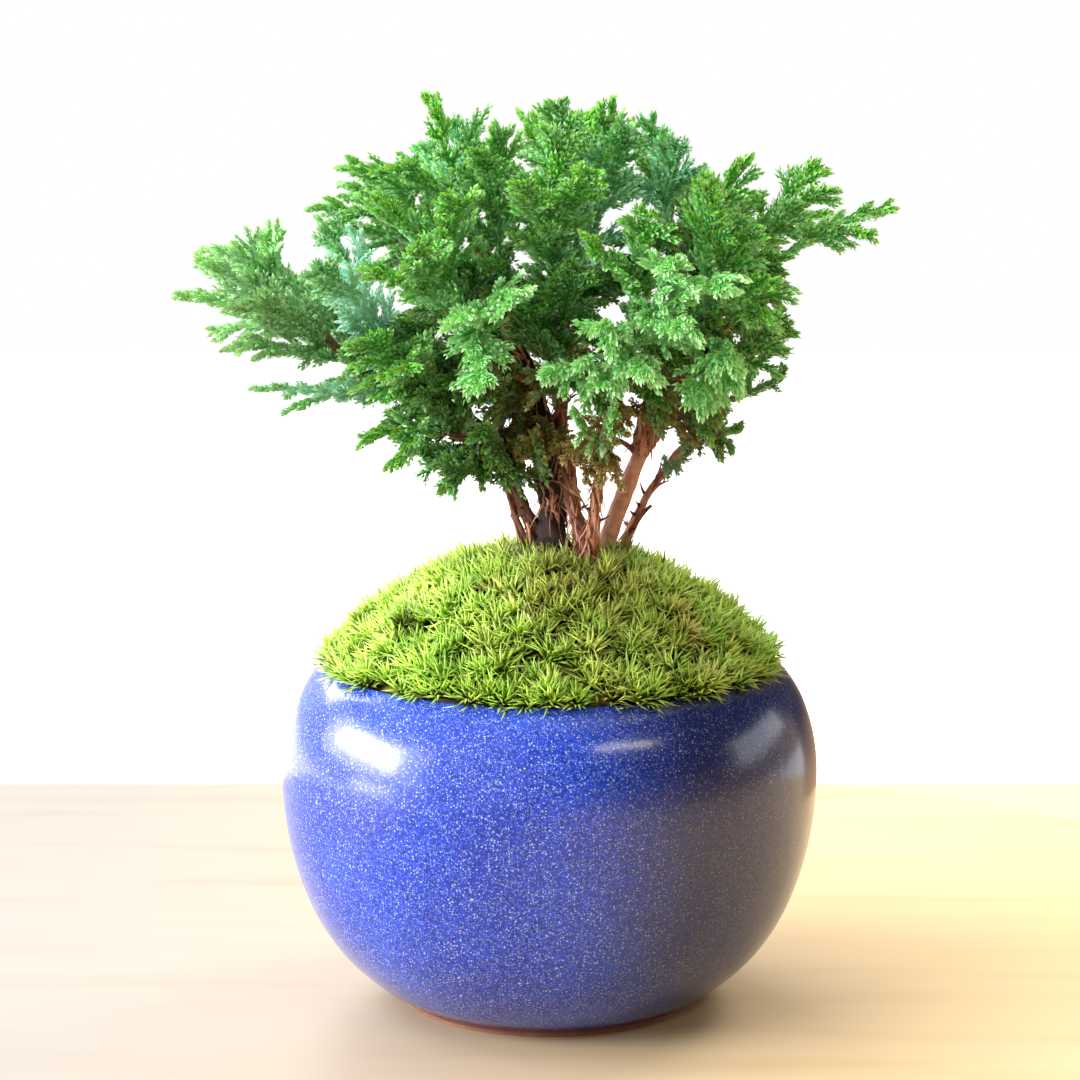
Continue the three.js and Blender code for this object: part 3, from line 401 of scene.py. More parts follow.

# Leaf colours: middle, tip, shaded and bloomed. Beside the fresh and blue greens, one copy is darker as
# painted shade for inner, back and low sprays, and one paler as painted light for the front-centre sprays
FOLIAGE = {
    "fresh": ("48b02e", "b2ec68", "1f6c1a", "c2e4d4"),
    "bright": ("80d874", "dcfcb8", "3ca244", "d4f4e0"),
    "blue": ("44a850", "a6e694", "247038", "b8ead9"),
    "deep": ("34902c", "8ad054", "184e18", "a0ccb2"),
}
DRIED_LEAVES = ("a68e54", "e4d296", "5e4a28", "b0a878")

# The old heart of the crown, in metres: its middle and its half sizes; where painted light turns the
# leaves paler towards the window on the left, and the tint of that painted light
OLD_LEAVES_CENTRE = (0.010, -0.002, 0.126)
OLD_LEAVES_SIZE = (0.036, 0.031, 0.020)
PAINTED_LIGHT_SIDE = (-0.028, -0.07)
PAINTED_LIGHT_TINT = "c4eebc"

# Painted shade: shoots are darkest up to this far from the crown's middle, and brightest this much
# further out
PAINTED_SHADE_REACH = 24
PAINTED_SHADE_FADE_REACH = 34

# A spray's breadth as a share of the usual one, its share of bloom, and how far its shoots hang
BREADTH = {
    "left_arm_low": 0.55, "spike_left": 1.3, "right_end": 0.7, "right_tips": 0.8,
    "front_high": 1.2, "right_low": 0.3, "right_under": 0.4, "right_under_front": 0.7, "right_stub": 0.4,
    "left_arm_end": 0.8, "left_low": 0.8, "left_low_front": 0.75, "left_low_inner": 0.8,
    "centre_low": 0.45, "centre_hanging": 0.75,
}
BLOOM = {
    "left_inner": 0.9, "left_arm_low": 0.75, "top_left": 0.4, "front_high": 0.35, "top_right": 0.3,
    "right_stub": 0.3,
}
USUAL_BLOOM = 0.14
DROOP = {
    "centre_hanging": 0.6, "centre_fan": 0.6, "centre_low": 0.7, "fan_right": 0.5, "hanging_right": 0.6,
}
USUAL_DROOP = 0.16


def unit(vectors):
    """Each vector divided by its length."""
    return vectors / np.maximum(np.linalg.norm(vectors, axis=-1, keepdims=True), 1e-12)


def across(vectors, along):
    """The part of each vector that is square to along, made one long."""
    return unit(vectors - np.sum(vectors * along, axis=-1, keepdims=True) * along)


def bezier(a, b, c, t):
    """A quadratic curve: (1-t)^2 a + 2t(1-t) b + t^2 c."""
    return (1 - t) ** 2 * a + 2 * t * (1 - t) * b + t ** 2 * c


def bezier_along(a, b, c, t):
    """The direction of that curve: (1-t)(b-a) + t(c-b), made one long."""
    return unit((1 - t) * (b - a) + t * (c - b))


def smooth_curve(points, count=401):
    """A centripetal Catmull-Rom curve through the points, as count points evenly spaced in parameter.

    Each span is a cubic between two points whose end slopes come from the neighbours, weighted by the
    square root of the distances, and the two ends are carried on in a straight line.
    """
    p = np.asarray(points, float)
    p = np.vstack([2 * p[0] - p[1], p, 2 * p[-1] - p[-2]])
    t = np.linspace(0, len(p) - 3, count)
    span = np.minimum(t.astype(int), len(p) - 4)
    w = (t - span)[:, None]
    x0, x1, x2, x3 = (p[span + k] for k in range(4))
    d0, d1, d2 = (np.linalg.norm(b - a, axis=1, keepdims=True) ** 0.5
                  for a, b in ((x0, x1), (x1, x2), (x2, x3)))
    s1 = ((x1 - x0) / d0 - (x2 - x0) / (d0 + d1) + (x2 - x1) / d1) * d1
    s2 = ((x2 - x1) / d1 - (x3 - x1) / (d1 + d2) + (x3 - x2) / d2) * d1
    return (x1 + s1 * w + (-3 * x1 + 3 * x2 - 2 * s1 - s2) * w ** 2
            + (2 * x1 - 2 * x2 + s1 + s2) * w ** 3)


def at_places(samples, places):
    """Points and directions at shares of the curve's length, from its samples."""
    steps = np.linalg.norm(np.diff(samples, axis=0), axis=1)
    length = np.concatenate([[0], np.cumsum(steps)])
    want = np.atleast_1d(places) * length[-1]
    point = np.stack([np.interp(want, length, samples[:, k]) for k in range(3)], axis=1)
    slope = np.gradient(samples, axis=0)
    along = unit(np.stack([np.interp(want, length, slope[:, k]) for k in range(3)], axis=1))
    return point, along


def wall_faces(rings, sides):
    """Triangles that join rings into a wall, and close each end by a fan onto one of two last points."""
    i, j = (grid.ravel() for grid in np.meshgrid(np.arange(rings - 1), np.arange(sides), indexing="ij"))
    k = (j + 1) % sides
    a, b, c, d = i * sides + j, i * sides + k, (i + 1) * sides + k, (i + 1) * sides + j
    first = np.arange(sides)
    last = (rings - 1) * sides + first
    start = np.full(sides, rings * sides)
    return np.concatenate([
        np.stack([a, b, c], axis=1), np.stack([a, c, d], axis=1),
        np.stack([start, np.roll(first, -1), first], axis=1),
        np.stack([start + 1, last, np.roll(last, -1)], axis=1),
    ])


def tubes(centres, side, out, radii, sides):
    """Closed tubes, one for each row of centres.

    A ring's points are centre + radius (cos a side + sin a out) for angles a evenly round the turn,
    and each end is closed by a fan onto its centre. Side, out and the direction are right-handed.
    """
    batch, rings, _ = centres.shape
    angle = np.linspace(0, TURN, sides, endpoint=False)[:, None]
    spokes = np.cos(angle) * side[:, :, None] + np.sin(angle) * out[:, :, None]
    wall = centres[:, :, None] + radii.reshape(batch, rings, -1, 1) * spokes
    points = np.concatenate([wall.reshape(batch, -1, 3), centres[:, :1], centres[:, -1:]], axis=1)
    return points, wall_faces(rings, sides)


def repeated(points, faces):
    """A batch of alike shapes as one list of points and one list of faces."""
    batch, count, _ = points.shape
    shift = (np.arange(batch) * count)[:, None, None]
    return points.reshape(-1, 3), (faces[None] + shift).reshape(-1, faces.shape[-1])


def joined(*shapes):
    """Several lists of points, faces and marks as one."""
    start = np.cumsum([0] + [len(points) for points, _, _ in shapes[:-1]])
    points = np.concatenate([points for points, _, _ in shapes])
    faces = np.concatenate([faces + shift for (_, faces, _), shift in zip(shapes, start)])
    marks = np.concatenate([marks for _, _, marks in shapes])
    return points, faces, marks


def add_piece(name, shape, material, nodes=(), smooth=True):
    """A mesh object at the origin from points in millimetres, faces and one colour-like mark a point.

    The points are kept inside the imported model's box.
    """
    points, faces, marks = shape
    mesh = bpy.data.meshes.new(name)
    mesh.vertices.add(len(points))
    place = np.clip(points * MM, BOX_LOW, BOX_HIGH)
    mesh.vertices.foreach_set("co", place.astype(np.float32).ravel())
    mesh.loops.add(faces.size)
    mesh.loops.foreach_set("vertex_index", faces.astype(np.int32).ravel())
    mesh.polygons.add(len(faces))
    mesh.polygons.foreach_set("loop_start", np.arange(0, faces.size, faces.shape[1], dtype=np.int32))
    mesh.polygons.foreach_set("use_smooth", np.full(len(faces), smooth))
    mark = mesh.attributes.new("marks", "FLOAT_COLOR", "POINT")
    rgba = np.ones((len(points), 4), np.float32)
    rgba[:, :marks.shape[1]] = marks
    mark.data.foreach_set("color", rgba.ravel())
    mesh.update(calc_edges=True)
    mesh.materials.append(material)
    piece = bpy.data.objects.new(name, mesh)
    bpy.context.scene.collection.objects.link(piece)
    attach(piece, "root")
    if nodes:
        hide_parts(*nodes)
    return piece


def colour(text):
    """A web colour such as 27358f as linear red, green, blue and alpha."""
    parts = np.array([int(text[k:k + 2], 16) for k in (0, 2, 4)]) / 255
    linear = np.where(parts <= 0.04045, parts / 12.92, ((parts + 0.055) / 1.055) ** 2.4)
    return (*linear.tolist(), 1.0)


class Finish:
    """A material with short words for adding and joining its nodes."""

    def __init__(self, name):
        self.material = bpy.data.materials.new(name)
        self.material.use_nodes = True
        self.tree = self.material.node_tree
        self.shader = self.tree.nodes["Principled BSDF"]

    def node(self, kind, **settings):
        """A node with its inputs and properties set; an input takes a value or another node's output."""
        node = self.tree.nodes.new("ShaderNode" + kind)
        for key, value in settings.items():
            key = key.replace("_", " ") if key[0].isupper() else key
            if key in node.inputs:
                self.feed(node.inputs[key], value)
            else:
                setattr(node, key, value)
        return node

    def feed(self, socket, value):
        """Gives a socket a plain value, or joins another node's output to it."""
        if isinstance(value, bpy.types.NodeSocket):
            self.tree.links.new(value, socket)
        else:
            socket.default_value = value

    def shade(self, **settings):
        """Sets the shader's own sockets."""
        for key, value in settings.items():
            self.feed(self.shader.inputs[key.replace("_", " ")], value)

    def place(self, stretch=(1, 1, 1), shift=(0, 0, 0)):
        """Object coordinates, stretched and then shifted."""
        coordinates = self.node("TexCoord")
        mapping = self.node("Mapping", Scale=stretch, Location=shift)
        self.feed(mapping.inputs["Vector"], coordinates.outputs["Object"])
        return mapping.outputs["Vector"]

    def axis(self, letter, vector):
        """One coordinate of a vector."""
        return self.node("SeparateXYZ", Vector=vector).outputs[letter]

    def marks(self):
        """The piece's own marks as three numbers."""
        attribute = self.node("Attribute", attribute_name="marks")
        return self.node("SeparateColor", Color=attribute.outputs["Color"]).outputs

    def noise(self, vector, scale, detail=3.0, roughness=0.55):
        """Soft noise from 0 to 1."""
        node = self.node("TexNoise", Vector=vector, Scale=scale, Detail=detail, Roughness=roughness)
        return node.outputs["Fac"]

    def between(self, value, low, high):
        """A value spread smoothly from 0 at low to 1 at high."""
        node = self.node("MapRange", interpolation_type="SMOOTHSTEP")
        for key, number in (("Value", value), ("From Min", low), ("From Max", high)):
            self.feed(node.inputs[key], number)
        return node.outputs["Result"]

    def maths(self, operation, a, b=0.0):
        """One sum of two values."""
        node = self.node("Math", operation=operation)
        self.feed(node.inputs[0], a)
        self.feed(node.inputs[1], b)
        return node.outputs["Value"]

    def mix(self, share, a, b, blend="MIX"):
        """Colour a blended into colour b by a share."""
        node = self.node("Mix", data_type="RGBA", blend_type=blend)
        self.feed(node.inputs["Factor"], share)
        for socket, colour in zip([s for s in node.inputs if s.type == "RGBA"], (a, b)):
            self.feed(socket, colour)
        return [s for s in node.outputs if s.type == "RGBA"][0]

    def tint(self, base, towards, mask, share):
        """A colour drawn towards a web colour by a mask times a share."""
        return self.mix(self.maths("MULTIPLY", mask, share), base, colour(towards))

    def bump(self, height, distance, strength=1.0):
        """Raises the surface by a height from 0 to 1 times a distance in metres."""
        return self.node("Bump", Height=height, Distance=distance, Strength=strength).outputs["Normal"]


# Finishes

def glaze_finish():
    """Dark cobalt glaze with fine pale specks, painted shade on its right, thin and reddish at the bare
    foot.

    The specks are round dots in three sizes of cell; a finer dot is fainter, and only some cells of a
    size hold one. The cells lie along bent coordinates, so that no rows or rings of them show.
    """
    f = Finish("cobalt_glaze")
    place = f.place()
    cloud = f.noise(place, 24, 4)
    blue = f.mix(f.between(cloud, 0.35, 0.7), colour("1030a8"), colour("1844c8"))
    blue = f.tint(blue, "0e1c66", f.between(f.noise(place, 900, 3), 0.4, 0.65), 0.6)
    blue = f.tint(blue, "6f8eea", f.between(f.noise(place, 2300, 2), 0.47, 0.64), 0.25)
    # Painted shade: the glaze is darkened on its right side, away from the window, along X with a wandering
    # edge
    wander = f.maths("MULTIPLY", f.noise(place, 30, 2), GLAZE_WANDER)
    painted_shade = f.between(f.maths("ADD", f.axis("X", place), wander), *GLAZE_PAINTED_SHADE_FROM)
    blue = f.tint(blue, "12162c", painted_shade, 0.85)
    sway = f.node("TexNoise", Vector=place, Scale=170, Detail=1).outputs["Color"]
    bent = f.mix(GLAZE_SWAY, place, sway, "ADD")
    specks = 0.0
    for scale, size, share, strength in GLAZE_SPECKS:
        cells = f.node("TexVoronoi", Vector=bent, Scale=scale)
        chance = f.node("SeparateColor", Color=cells.outputs["Color"]).outputs["Red"]
        chosen = f.between(chance, share, share + 0.15)
        dot = f.between(cells.outputs["Distance"], size, size * 0.35)
        dot = f.maths("MULTIPLY", f.maths("MULTIPLY", dot, chosen), strength)
        specks = f.maths("MAXIMUM", specks, dot)
    # The specks are dimmer and greyer within that painted shade
    dots = f.mix(painted_shade, colour("c0d0ff"), colour("74758a"))
    glazed = f.mix(specks, blue, dots)
    ragged = f.maths("MULTIPLY", f.noise(place, 160, 3), FOOT_RAGGED)
    height = f.maths("ADD", f.axis("Z", place), ragged)
    foot = f.between(height, *BARE_CLAY)
    glazed = f.tint(glazed, "4a2f42", f.between(height, *THIN_GLAZE), 0.6)
    clay = f.mix(f.noise(place, 900, 2), colour("6e4030"), colour("8d5842"))
    f.shade(Base_Color=f.mix(foot, glazed, clay))
    f.shade(Roughness=f.maths("ADD", f.maths("MULTIPLY", foot, 0.5), 0.22))
    f.shade(IOR=1.45, Coat_Weight=0.4, Coat_Roughness=0.14)
    waves = f.maths("ADD", f.noise(place, 80, 3), f.maths("MULTIPLY", f.noise(place, 500, 2), 0.16))
    f.shade(Normal=f.bump(waves, 0.0004, 0.6))
    return f.material


def moss_finish():
    """Moss leaves: brown at the root, green to yellow-green outwards, with paler tips.

    Marks: place along the leaf, lowered on a tuft's outer leaves as painted shade; how yellow and light
    its tuft is, raised to the left as painted light; and how far the tuft has dried.
    """
    f = Finish("moss")
    along, tone, straw = f.marks()
    green = f.mix(tone, colour("6cb631"), colour("caf85c"))
    green = f.mix(f.between(f.noise(f.place(), 260, 2), 0.35, 0.7), green, colour("80b42e"))
    green = f.tint(green, "aa9a48", straw, 0.8)
    leaf = f.mix(f.between(along, 0.05, 0.52), colour("241f0a"), green)
    tip = f.mix(straw, colour("e0f88c"), colour("f0e2a4"))
    f.shade(Base_Color=f.mix(f.maths("MULTIPLY", f.between(along, 0.55, 1.0), 0.85), leaf, tip))
    f.shade(Roughness=0.55, Subsurface_Weight=0.1, Subsurface_Scale=0.001)
    return f.material


def bark_finish():
    """Red-brown bark peeling in long fibres, paler on the ridges, and olive on the young wood above.

    Marks: darkness of the stem, pinkness of the surface, and how much it is a loose orange-brown strip.
    The grain runs upwards, as stems do.
    """
    f = Finish("bark")
    dark, pinkness, strips = f.marks()
    grain = f.place((1, 1, 0.16))
    fibres = f.noise(grain, 1500, 4, 0.65)
    patches = f.noise(f.place((1, 1, 0.45)), 320, 3)
    brown = f.mix(f.between(fibres, 0.36, 0.66), colour("5c2f24"), colour("b06a50"))
    brown = f.tint(brown, "cf927a", f.between(patches, 0.5, 0.7), 0.75)
    rings = f.noise(f.place((1, 1, 1.6)), 420, 3)
    pink = f.mix(f.between(rings, 0.3, 0.7), colour("cc8c7c"), colour("e0a898"))
    brown = f.mix(pinkness, brown, pink)
    brown = f.tint(brown, "180c11", dark, 0.95)
    olive = f.mix(f.between(fibres, 0.35, 0.65), colour("4f5a24"), colour("8c9a48"))
    brown = f.mix(f.between(f.axis("Z", f.place()), *YOUNG_WOOD), brown, olive)
    f.shade(Base_Color=f.tint(brown, "e6a887", strips, 0.8))
    f.shade(Roughness=0.8)
    f.shade(Normal=f.bump(f.maths("ADD", fibres, patches), 0.0006, 0.8))
    return f.material


def leaf_finish(name, shade, light, shadow, bloom):
    """Scale leaves: darker at the root, paler at the tip, some with a blue-white bloom.

    They are painted paler on the left, the window side, as painted light, and olive to brown in the old
    heart of the crown, an ellipsoid over the stems. Marks: place along the leaf, the shoot's tone, with
    painted shade deeper in the crown, and the share of bloom.
    """
    f = Finish(name)
    tip, tone, bloomed = f.marks()
    green = f.mix(tone, colour(shadow), colour(shade))
    green = f.tint(green, light, f.between(tip, 0.25, 1.0), 0.85)
    green = f.tint(green, shade, f.between(f.noise(f.place(), 420, 2), 0.4, 0.65), 0.3)
    # Painted light: leaves on the left, towards the window, are tinted paler
    green = f.tint(green, PAINTED_LIGHT_TINT, f.between(f.axis("X", f.place()), *PAINTED_LIGHT_SIDE), 0.35)
    from_heart = f.place([1 / size for size in OLD_LEAVES_SIZE],
                         [-centre / size for centre, size in zip(OLD_LEAVES_CENTRE, OLD_LEAVES_SIZE)])
    distance = f.node("VectorMath", Vector=from_heart, operation="LENGTH").outputs["Value"]
    patches = f.between(f.noise(f.place(), 140, 2), 0.25, 0.6)
    old = f.maths("MULTIPLY", f.between(distance, 1.0, 0.6), patches)
    brown = f.mix(f.between(f.noise(f.place(), 500, 2), 0.4, 0.6), colour("606428"), colour("b0a25c"))
    green = f.mix(f.maths("MULTIPLY", old, 0.8), green, brown)
    f.shade(Base_Color=f.mix(bloomed, green, colour(bloom)))
    f.shade(Roughness=0.5, Subsurface_Weight=0.08, Subsurface_Scale=0.001)
    return f.material


def soil_finish():
    """Dark crumbly soil."""
    f = Finish("soil")
    place = f.place()
    crumbs = f.node("TexVoronoi", Vector=place, Scale=700).outputs["Distance"]
    f.shade(Base_Color=f.mix(f.noise(place, 500, 3), colour("2c1d14"), colour("6a4a32")), Roughness=0.95)
    f.shade(Normal=f.bump(crumbs, 0.0008))
    return f.material


def screen_finish():
    """Black moulded plastic with a faint haze."""
    f = Finish("black_plastic")
    place = f.place()
    f.shade(Base_Color=f.mix(f.noise(place, 300, 2), colour("141414"), colour("2a2a2a")), Roughness=0.55)
    f.shade(Normal=f.bump(f.noise(place, 2500, 2), 0.0001))
    return f.material


# Pot

def pot_curve(place):
    """Point and direction on the pot's outline at a place from 0 at the foot to 1 at the lip.

    A uniform Catmull-Rom curve through the outline's points, whose ends repeat.
    """
    p = np.array(POT_OUTLINE, float)
    p = np.vstack([p[0], p, p[-1]])
    t = np.asarray(place, float) * (len(p) - 3)
    span = np.minimum(t.astype(int), len(p) - 4)
    w = (t - span)[:, None]
    p0, p1, p2, p3 = (p[span + k] for k in range(4))
    s1, s2 = (p2 - p0) / 2, (p3 - p1) / 2
    cubed, squared = 2 * p1 - 2 * p2 + s1 + s2, -3 * p1 + 3 * p2 - 2 * s1 - s2
    point = cubed * w ** 3 + squared * w ** 2 + s1 * w + p1
    slope = 3 * cubed * w ** 2 + 2 * squared * w + s1
    return point, unit(slope)


def turned(outline, sides):
    """A closed shell: the outline's [radius, height] points turned about the Z axis.

    The outline starts and ends on the axis, where its rings close in one point.
    """
    outline = np.asarray(outline, float)
    angle = np.linspace(0, TURN, sides, endpoint=False)
    rings = outline[1:-1]
    wall = np.stack([
        rings[:, 0, None] * np.cos(angle), rings[:, 0, None] * np.sin(angle),
        np.repeat(rings[:, 1, None], sides, axis=1),
    ], axis=2).reshape(-1, 3)
    poles = np.array([[0, 0, outline[0, 1]], [0, 0, outline[-1, 1]]])
    return np.concatenate([wall, poles]), wall_faces(len(rings), sides)


def pot_shell():
    """The whole pot without its holes: foot, outside, round lip, inside and floor as one turned outline.

    The inside is the outline's curve moved in by the wall's thickness, and the lip is a quarter circle.
    """
    outside, _ = pot_curve(np.linspace(0, 1, OUTSIDE_STEPS))
    inside, slope = pot_curve(np.linspace(INSIDE_END, INSIDE_START, INSIDE_STEPS))
    inside = inside + POT_WALL * np.stack([-slope[:, 1], slope[:, 0]], axis=1)
    angle = np.linspace(0.25, 0.5, LIP_STEPS)[1:] * TURN
    lip_middle = np.array([MOUTH_RADIUS + LIP_ROUND, LIP_ROUND_HEIGHT])
    lip = lip_middle + LIP_ROUND * np.stack([np.cos(angle), np.sin(angle)], axis=1)
    mouth = [[MOUTH_RADIUS, MOUTH_FOOT_HEIGHT]]
    foot = [[radius, 0] for radius in FOOT_RINGS]
    floor = [[radius, POT_FLOOR] for radius in FLOOR_RINGS]
    return turned(np.vstack([foot, outside, lip, mouth, inside, floor]), POT_SIDES)


def make_pot():
    """The pot's shell, with its drain holes cut through the floor."""
    points, faces = pot_shell()
    shape = points, faces, np.zeros((len(points), 1))
    pot = add_piece("glazed_pot", shape, glaze_finish(), ["pot"])
    low, high = -CUT_ROOM, POT_FLOOR + CUT_ROOM
    cutter, cutter_faces = turned(
        [[0, low], [DRAIN_HOLE_RADIUS, low], [DRAIN_HOLE_RADIUS, high], [0, high]], DRAIN_HOLE_SIDES)
    for angle in (np.arange(DRAIN_HOLES) + 0.25) * TURN / DRAIN_HOLES:
        place = DRAIN_HOLE_RING * np.array([np.cos(angle), np.sin(angle), 0])
        cut_hole(pot, cutter + place, cutter_faces)


def cut_hole(piece, points, faces):
    """Takes a closed shape out of a piece."""
    mesh = bpy.data.meshes.new("cutter")
    mesh.from_pydata((points * MM).tolist(), [], faces.tolist())
    cutter = bpy.data.objects.new("cutter", mesh)
    bpy.context.scene.collection.objects.link(cutter)
    modifier = piece.modifiers.new("hole", "BOOLEAN")
    modifier.operation = "DIFFERENCE"
    modifier.solver = "EXACT"
    modifier.object = cutter
    settled = bpy.data.meshes.new_from_object(piece.evaluated_get(bpy.context.evaluated_depsgraph_get()))
    piece.modifiers.clear()
    piece.data = settled
    bpy.data.objects.remove(cutter)


# Moss

def moss_dome(radius):
    """Height of the moss tips at a distance from the axis, and the way out of the dome there.

    The height is edge + rise (1 - share^power), a dome that is flat on top and steep at its edge.
    """
    share = np.minimum(radius / MOSS_FOOT_RADIUS, 1)
    height = MOSS_EDGE_HEIGHT + MOSS_RISE * (1 - share ** MOSS_POWER)
    slope = -MOSS_RISE * MOSS_POWER / MOSS_FOOT_RADIUS * share ** (MOSS_POWER - 1)
    return height, unit(np.stack([-slope, np.ones_like(slope)], axis=-1))


def moss_bed():
    """The cushion under the tufts: the dome sunk by a tuft's height, closed beneath just over the soil.

    Its points are pushed in at random by up to a sixtieth, and it is a crumbly brown.
    """
    radius = np.linspace(0, MOSS_FOOT_RADIUS, BED_TOP_STEPS)
    height, out = moss_dome(radius)
    top = np.stack([radius, height], axis=1) - TUFT_HEIGHT * out
    top[0, 0] = 0
    top = top[top[:, 0] < MOUTH_RADIUS - 0.4][::-1]
    radius = np.linspace(0, MOUTH_RADIUS - 1, BED_UNDER_STEPS)
    under = moss_dome(radius)[0] - SOIL_DEPTH + SOIL_RIM_RISE * (radius / MOSS_RADIUS) ** 4
    points, faces = turned(np.vstack([np.stack([radius, under], axis=1), top]), BED_SIDES)
    random = np.random.default_rng(BED_SEED)
    points[:, :2] *= 1 - random.uniform(0, BED_ROUGHNESS, (len(points), 1))
    marks = np.zeros((len(points), 3))
    marks[:, 0] = random.uniform(0, 0.5, len(points))
    marks[:, 2] = 1
    return points, faces, marks


def tuft_places(stems, random):
    """Foot and axis of each tuft, on a golden-angle lattice that gives each the same area of dome.

    Stems are points with a radius, and tufts that would stand in one are left out.
    """
    count = np.arange(TUFTS)
    rings = np.linspace(0, MOSS_RADIUS + 1.6, 200)
    area = np.cumsum(rings / moss_dome(rings)[1][:, 1])
    radius = np.interp((count + 0.5) / TUFTS * area[-1], area, rings)
    spot = radius[:, None] * np.stack([np.cos(count * GOLDEN_TURN), np.sin(count * GOLDEN_TURN)], axis=1)
    spot += random.normal(0, 0.7, spot.shape)
    radius = np.linalg.norm(spot, axis=1)
    spot *= (np.minimum(radius, MOSS_RADIUS) / radius)[:, None]
    height, out = moss_dome(np.linalg.norm(spot, axis=1))
    outward = unit(spot)
    axis = np.column_stack([out[:, :1] * outward, out[:, 1]])
    foot = np.column_stack([spot, height]) - TUFT_HEIGHT * axis
    foot += random.normal(0, 0.5, (TUFTS, 1)) * axis
    at_edge = (np.linalg.norm(spot, axis=1) - TUFT_EDGE_START) / TUFT_EDGE_WIDTH
    at_edge = np.clip(at_edge, 0, 1)[:, None]
    foot[:, :2] *= 1 + TUFT_EDGE_OUT * at_edge
    axis = unit(axis + TUFT_EDGE_UP * at_edge * UP + random.normal(0, 0.26, axis.shape))
    near = np.linalg.norm(foot[:, None] - stems[None, :, :3], axis=2) - stems[None, :, 3]
    free = near.min(axis=1) > TUFT_STEM_ROOM
    return foot[free], axis[free]


def moss_tufts(stems):
    """Star tufts of curved leaves, lighter on the left as painted light, straw-coloured in the dry patches.

    A leaf is a three-sided spike through a root, a bend and a tip: it starts at its tuft's foot, leaves
    at an angle from the tuft's axis that grows from the inner leaves to the outer ones, and bends on
    outwards. Leaves at the edge lie over the pot's lip.
    """
    random = np.random.default_rng(TUFT_SEED)
    foot, axis = tuft_places(stems, random)
    x, y = foot[:, 0], foot[:, 1]
    # Painted light: tufts get a lighter tone towards the left, the window side, with a random spread
    tone = np.clip(0.62 - 0.011 * x + random.normal(0, 0.34, len(foot)), 0, 1)
    straw = sum(share * np.exp(-((x - mid_x) / reach_x) ** 2 - ((y - mid_y) / reach_y) ** 2)
                for share, mid_x, mid_y, reach_x, reach_y in DRY_PATCHES)
    straw = np.clip(straw + random.normal(0, 0.2, len(foot)), 0, 1)
    size = random.uniform(0.8, 1.2, len(foot))

    leaves = np.arange(TUFT_LEAVES)
    spread = np.radians(TUFT_SPREAD[0] + TUFT_SPREAD[1] * ((leaves + 0.5) / TUFT_LEAVES) ** 0.8)
    spread = spread + random.normal(0, 0.12, (len(foot), TUFT_LEAVES))
    turn = leaves * GOLDEN_TURN + random.uniform(0, TURN, (len(foot), 1))
    side = across(np.broadcast_to([1.0, 0.2, 0.1], axis.shape), axis)
    other = np.cross(axis, side)
    radial = np.cos(turn)[..., None] * side[:, None] + np.sin(turn)[..., None] * other[:, None]
    first = np.cos(spread)[..., None] * axis[:, None] + np.sin(spread)[..., None] * radial
    curl = TUFT_CURL[0] + TUFT_CURL[1] * leaves / TUFT_LEAVES
    bent = unit(first + curl[:, None] * radial + random.normal(0, 0.3, first.shape))
    length = TUFT_LEAF_LENGTH * size[:, None] * random.uniform(0.7, 1.15, spread.shape)
    root = foot[:, None] + 0.3 * radial
    knee = root + MOSS_LEAF_SPANS[0] * length[..., None] * first
    tip = knee + MOSS_LEAF_SPANS[1] * length[..., None] * bent
    wide = unit(np.cross(first, radial))
    thick = np.cross(wide, first)
    ring = TUFT_LEAF_WIDTH * np.array(MOSS_LEAF_RING)
    corners = [centre + wide_by * wide + thick_by * thick
               for centre, share in zip((root, knee), MOSS_LEAF_SHARES)
               for wide_by, thick_by in ring * share]
    corners.append(tip)
    points = np.stack(corners, axis=2).reshape(-1, 7, 3)
    reach = np.linalg.norm(points[..., :2], axis=-1)
    lip = np.interp(reach, LIP_RADII, LIP_HEIGHTS, left=-1)
    points[..., 2] = np.maximum(points[..., 2], lip)
    marks = np.zeros(points.shape)
    # Painted shade: a tuft's outer leaves are darker, as shade between tufts; some tufts are darker at
    # random
    shaded = 1 - 0.4 * (leaves / TUFT_LEAVES) ** 1.5
    shaded = shaded * (1 - 0.45 * random.uniform(0, 1, (len(foot), 1)) ** 2)
    marks[..., 0] = shaded.reshape(-1, 1) * [0, 0, 0, 0.55, 0.55, 0.55, 1.0]
    marks[..., 1] = np.repeat(tone, TUFT_LEAVES)[:, None]
    marks[..., 2] = np.repeat(straw, TUFT_LEAVES)[:, None]
    points, faces = repeated(points, np.array(MOSS_LEAF_FACES))
    return points, faces, marks.reshape(-1, 3)


# Stems

def limb_paths():
    """Each limb as samples along a smooth curve."""
    return {name: smooth_curve(points) for name, (points, _, _) in LIMBS.items()}


def surface_frame(samples, place):
    """Points along a limb, with the directions to its right, outwards to the front, and along it."""
    point, along = at_places(samples, place)
    out = across(np.broadcast_to(FRONT, along.shape), along)
    return point, np.cross(out, along), out, along


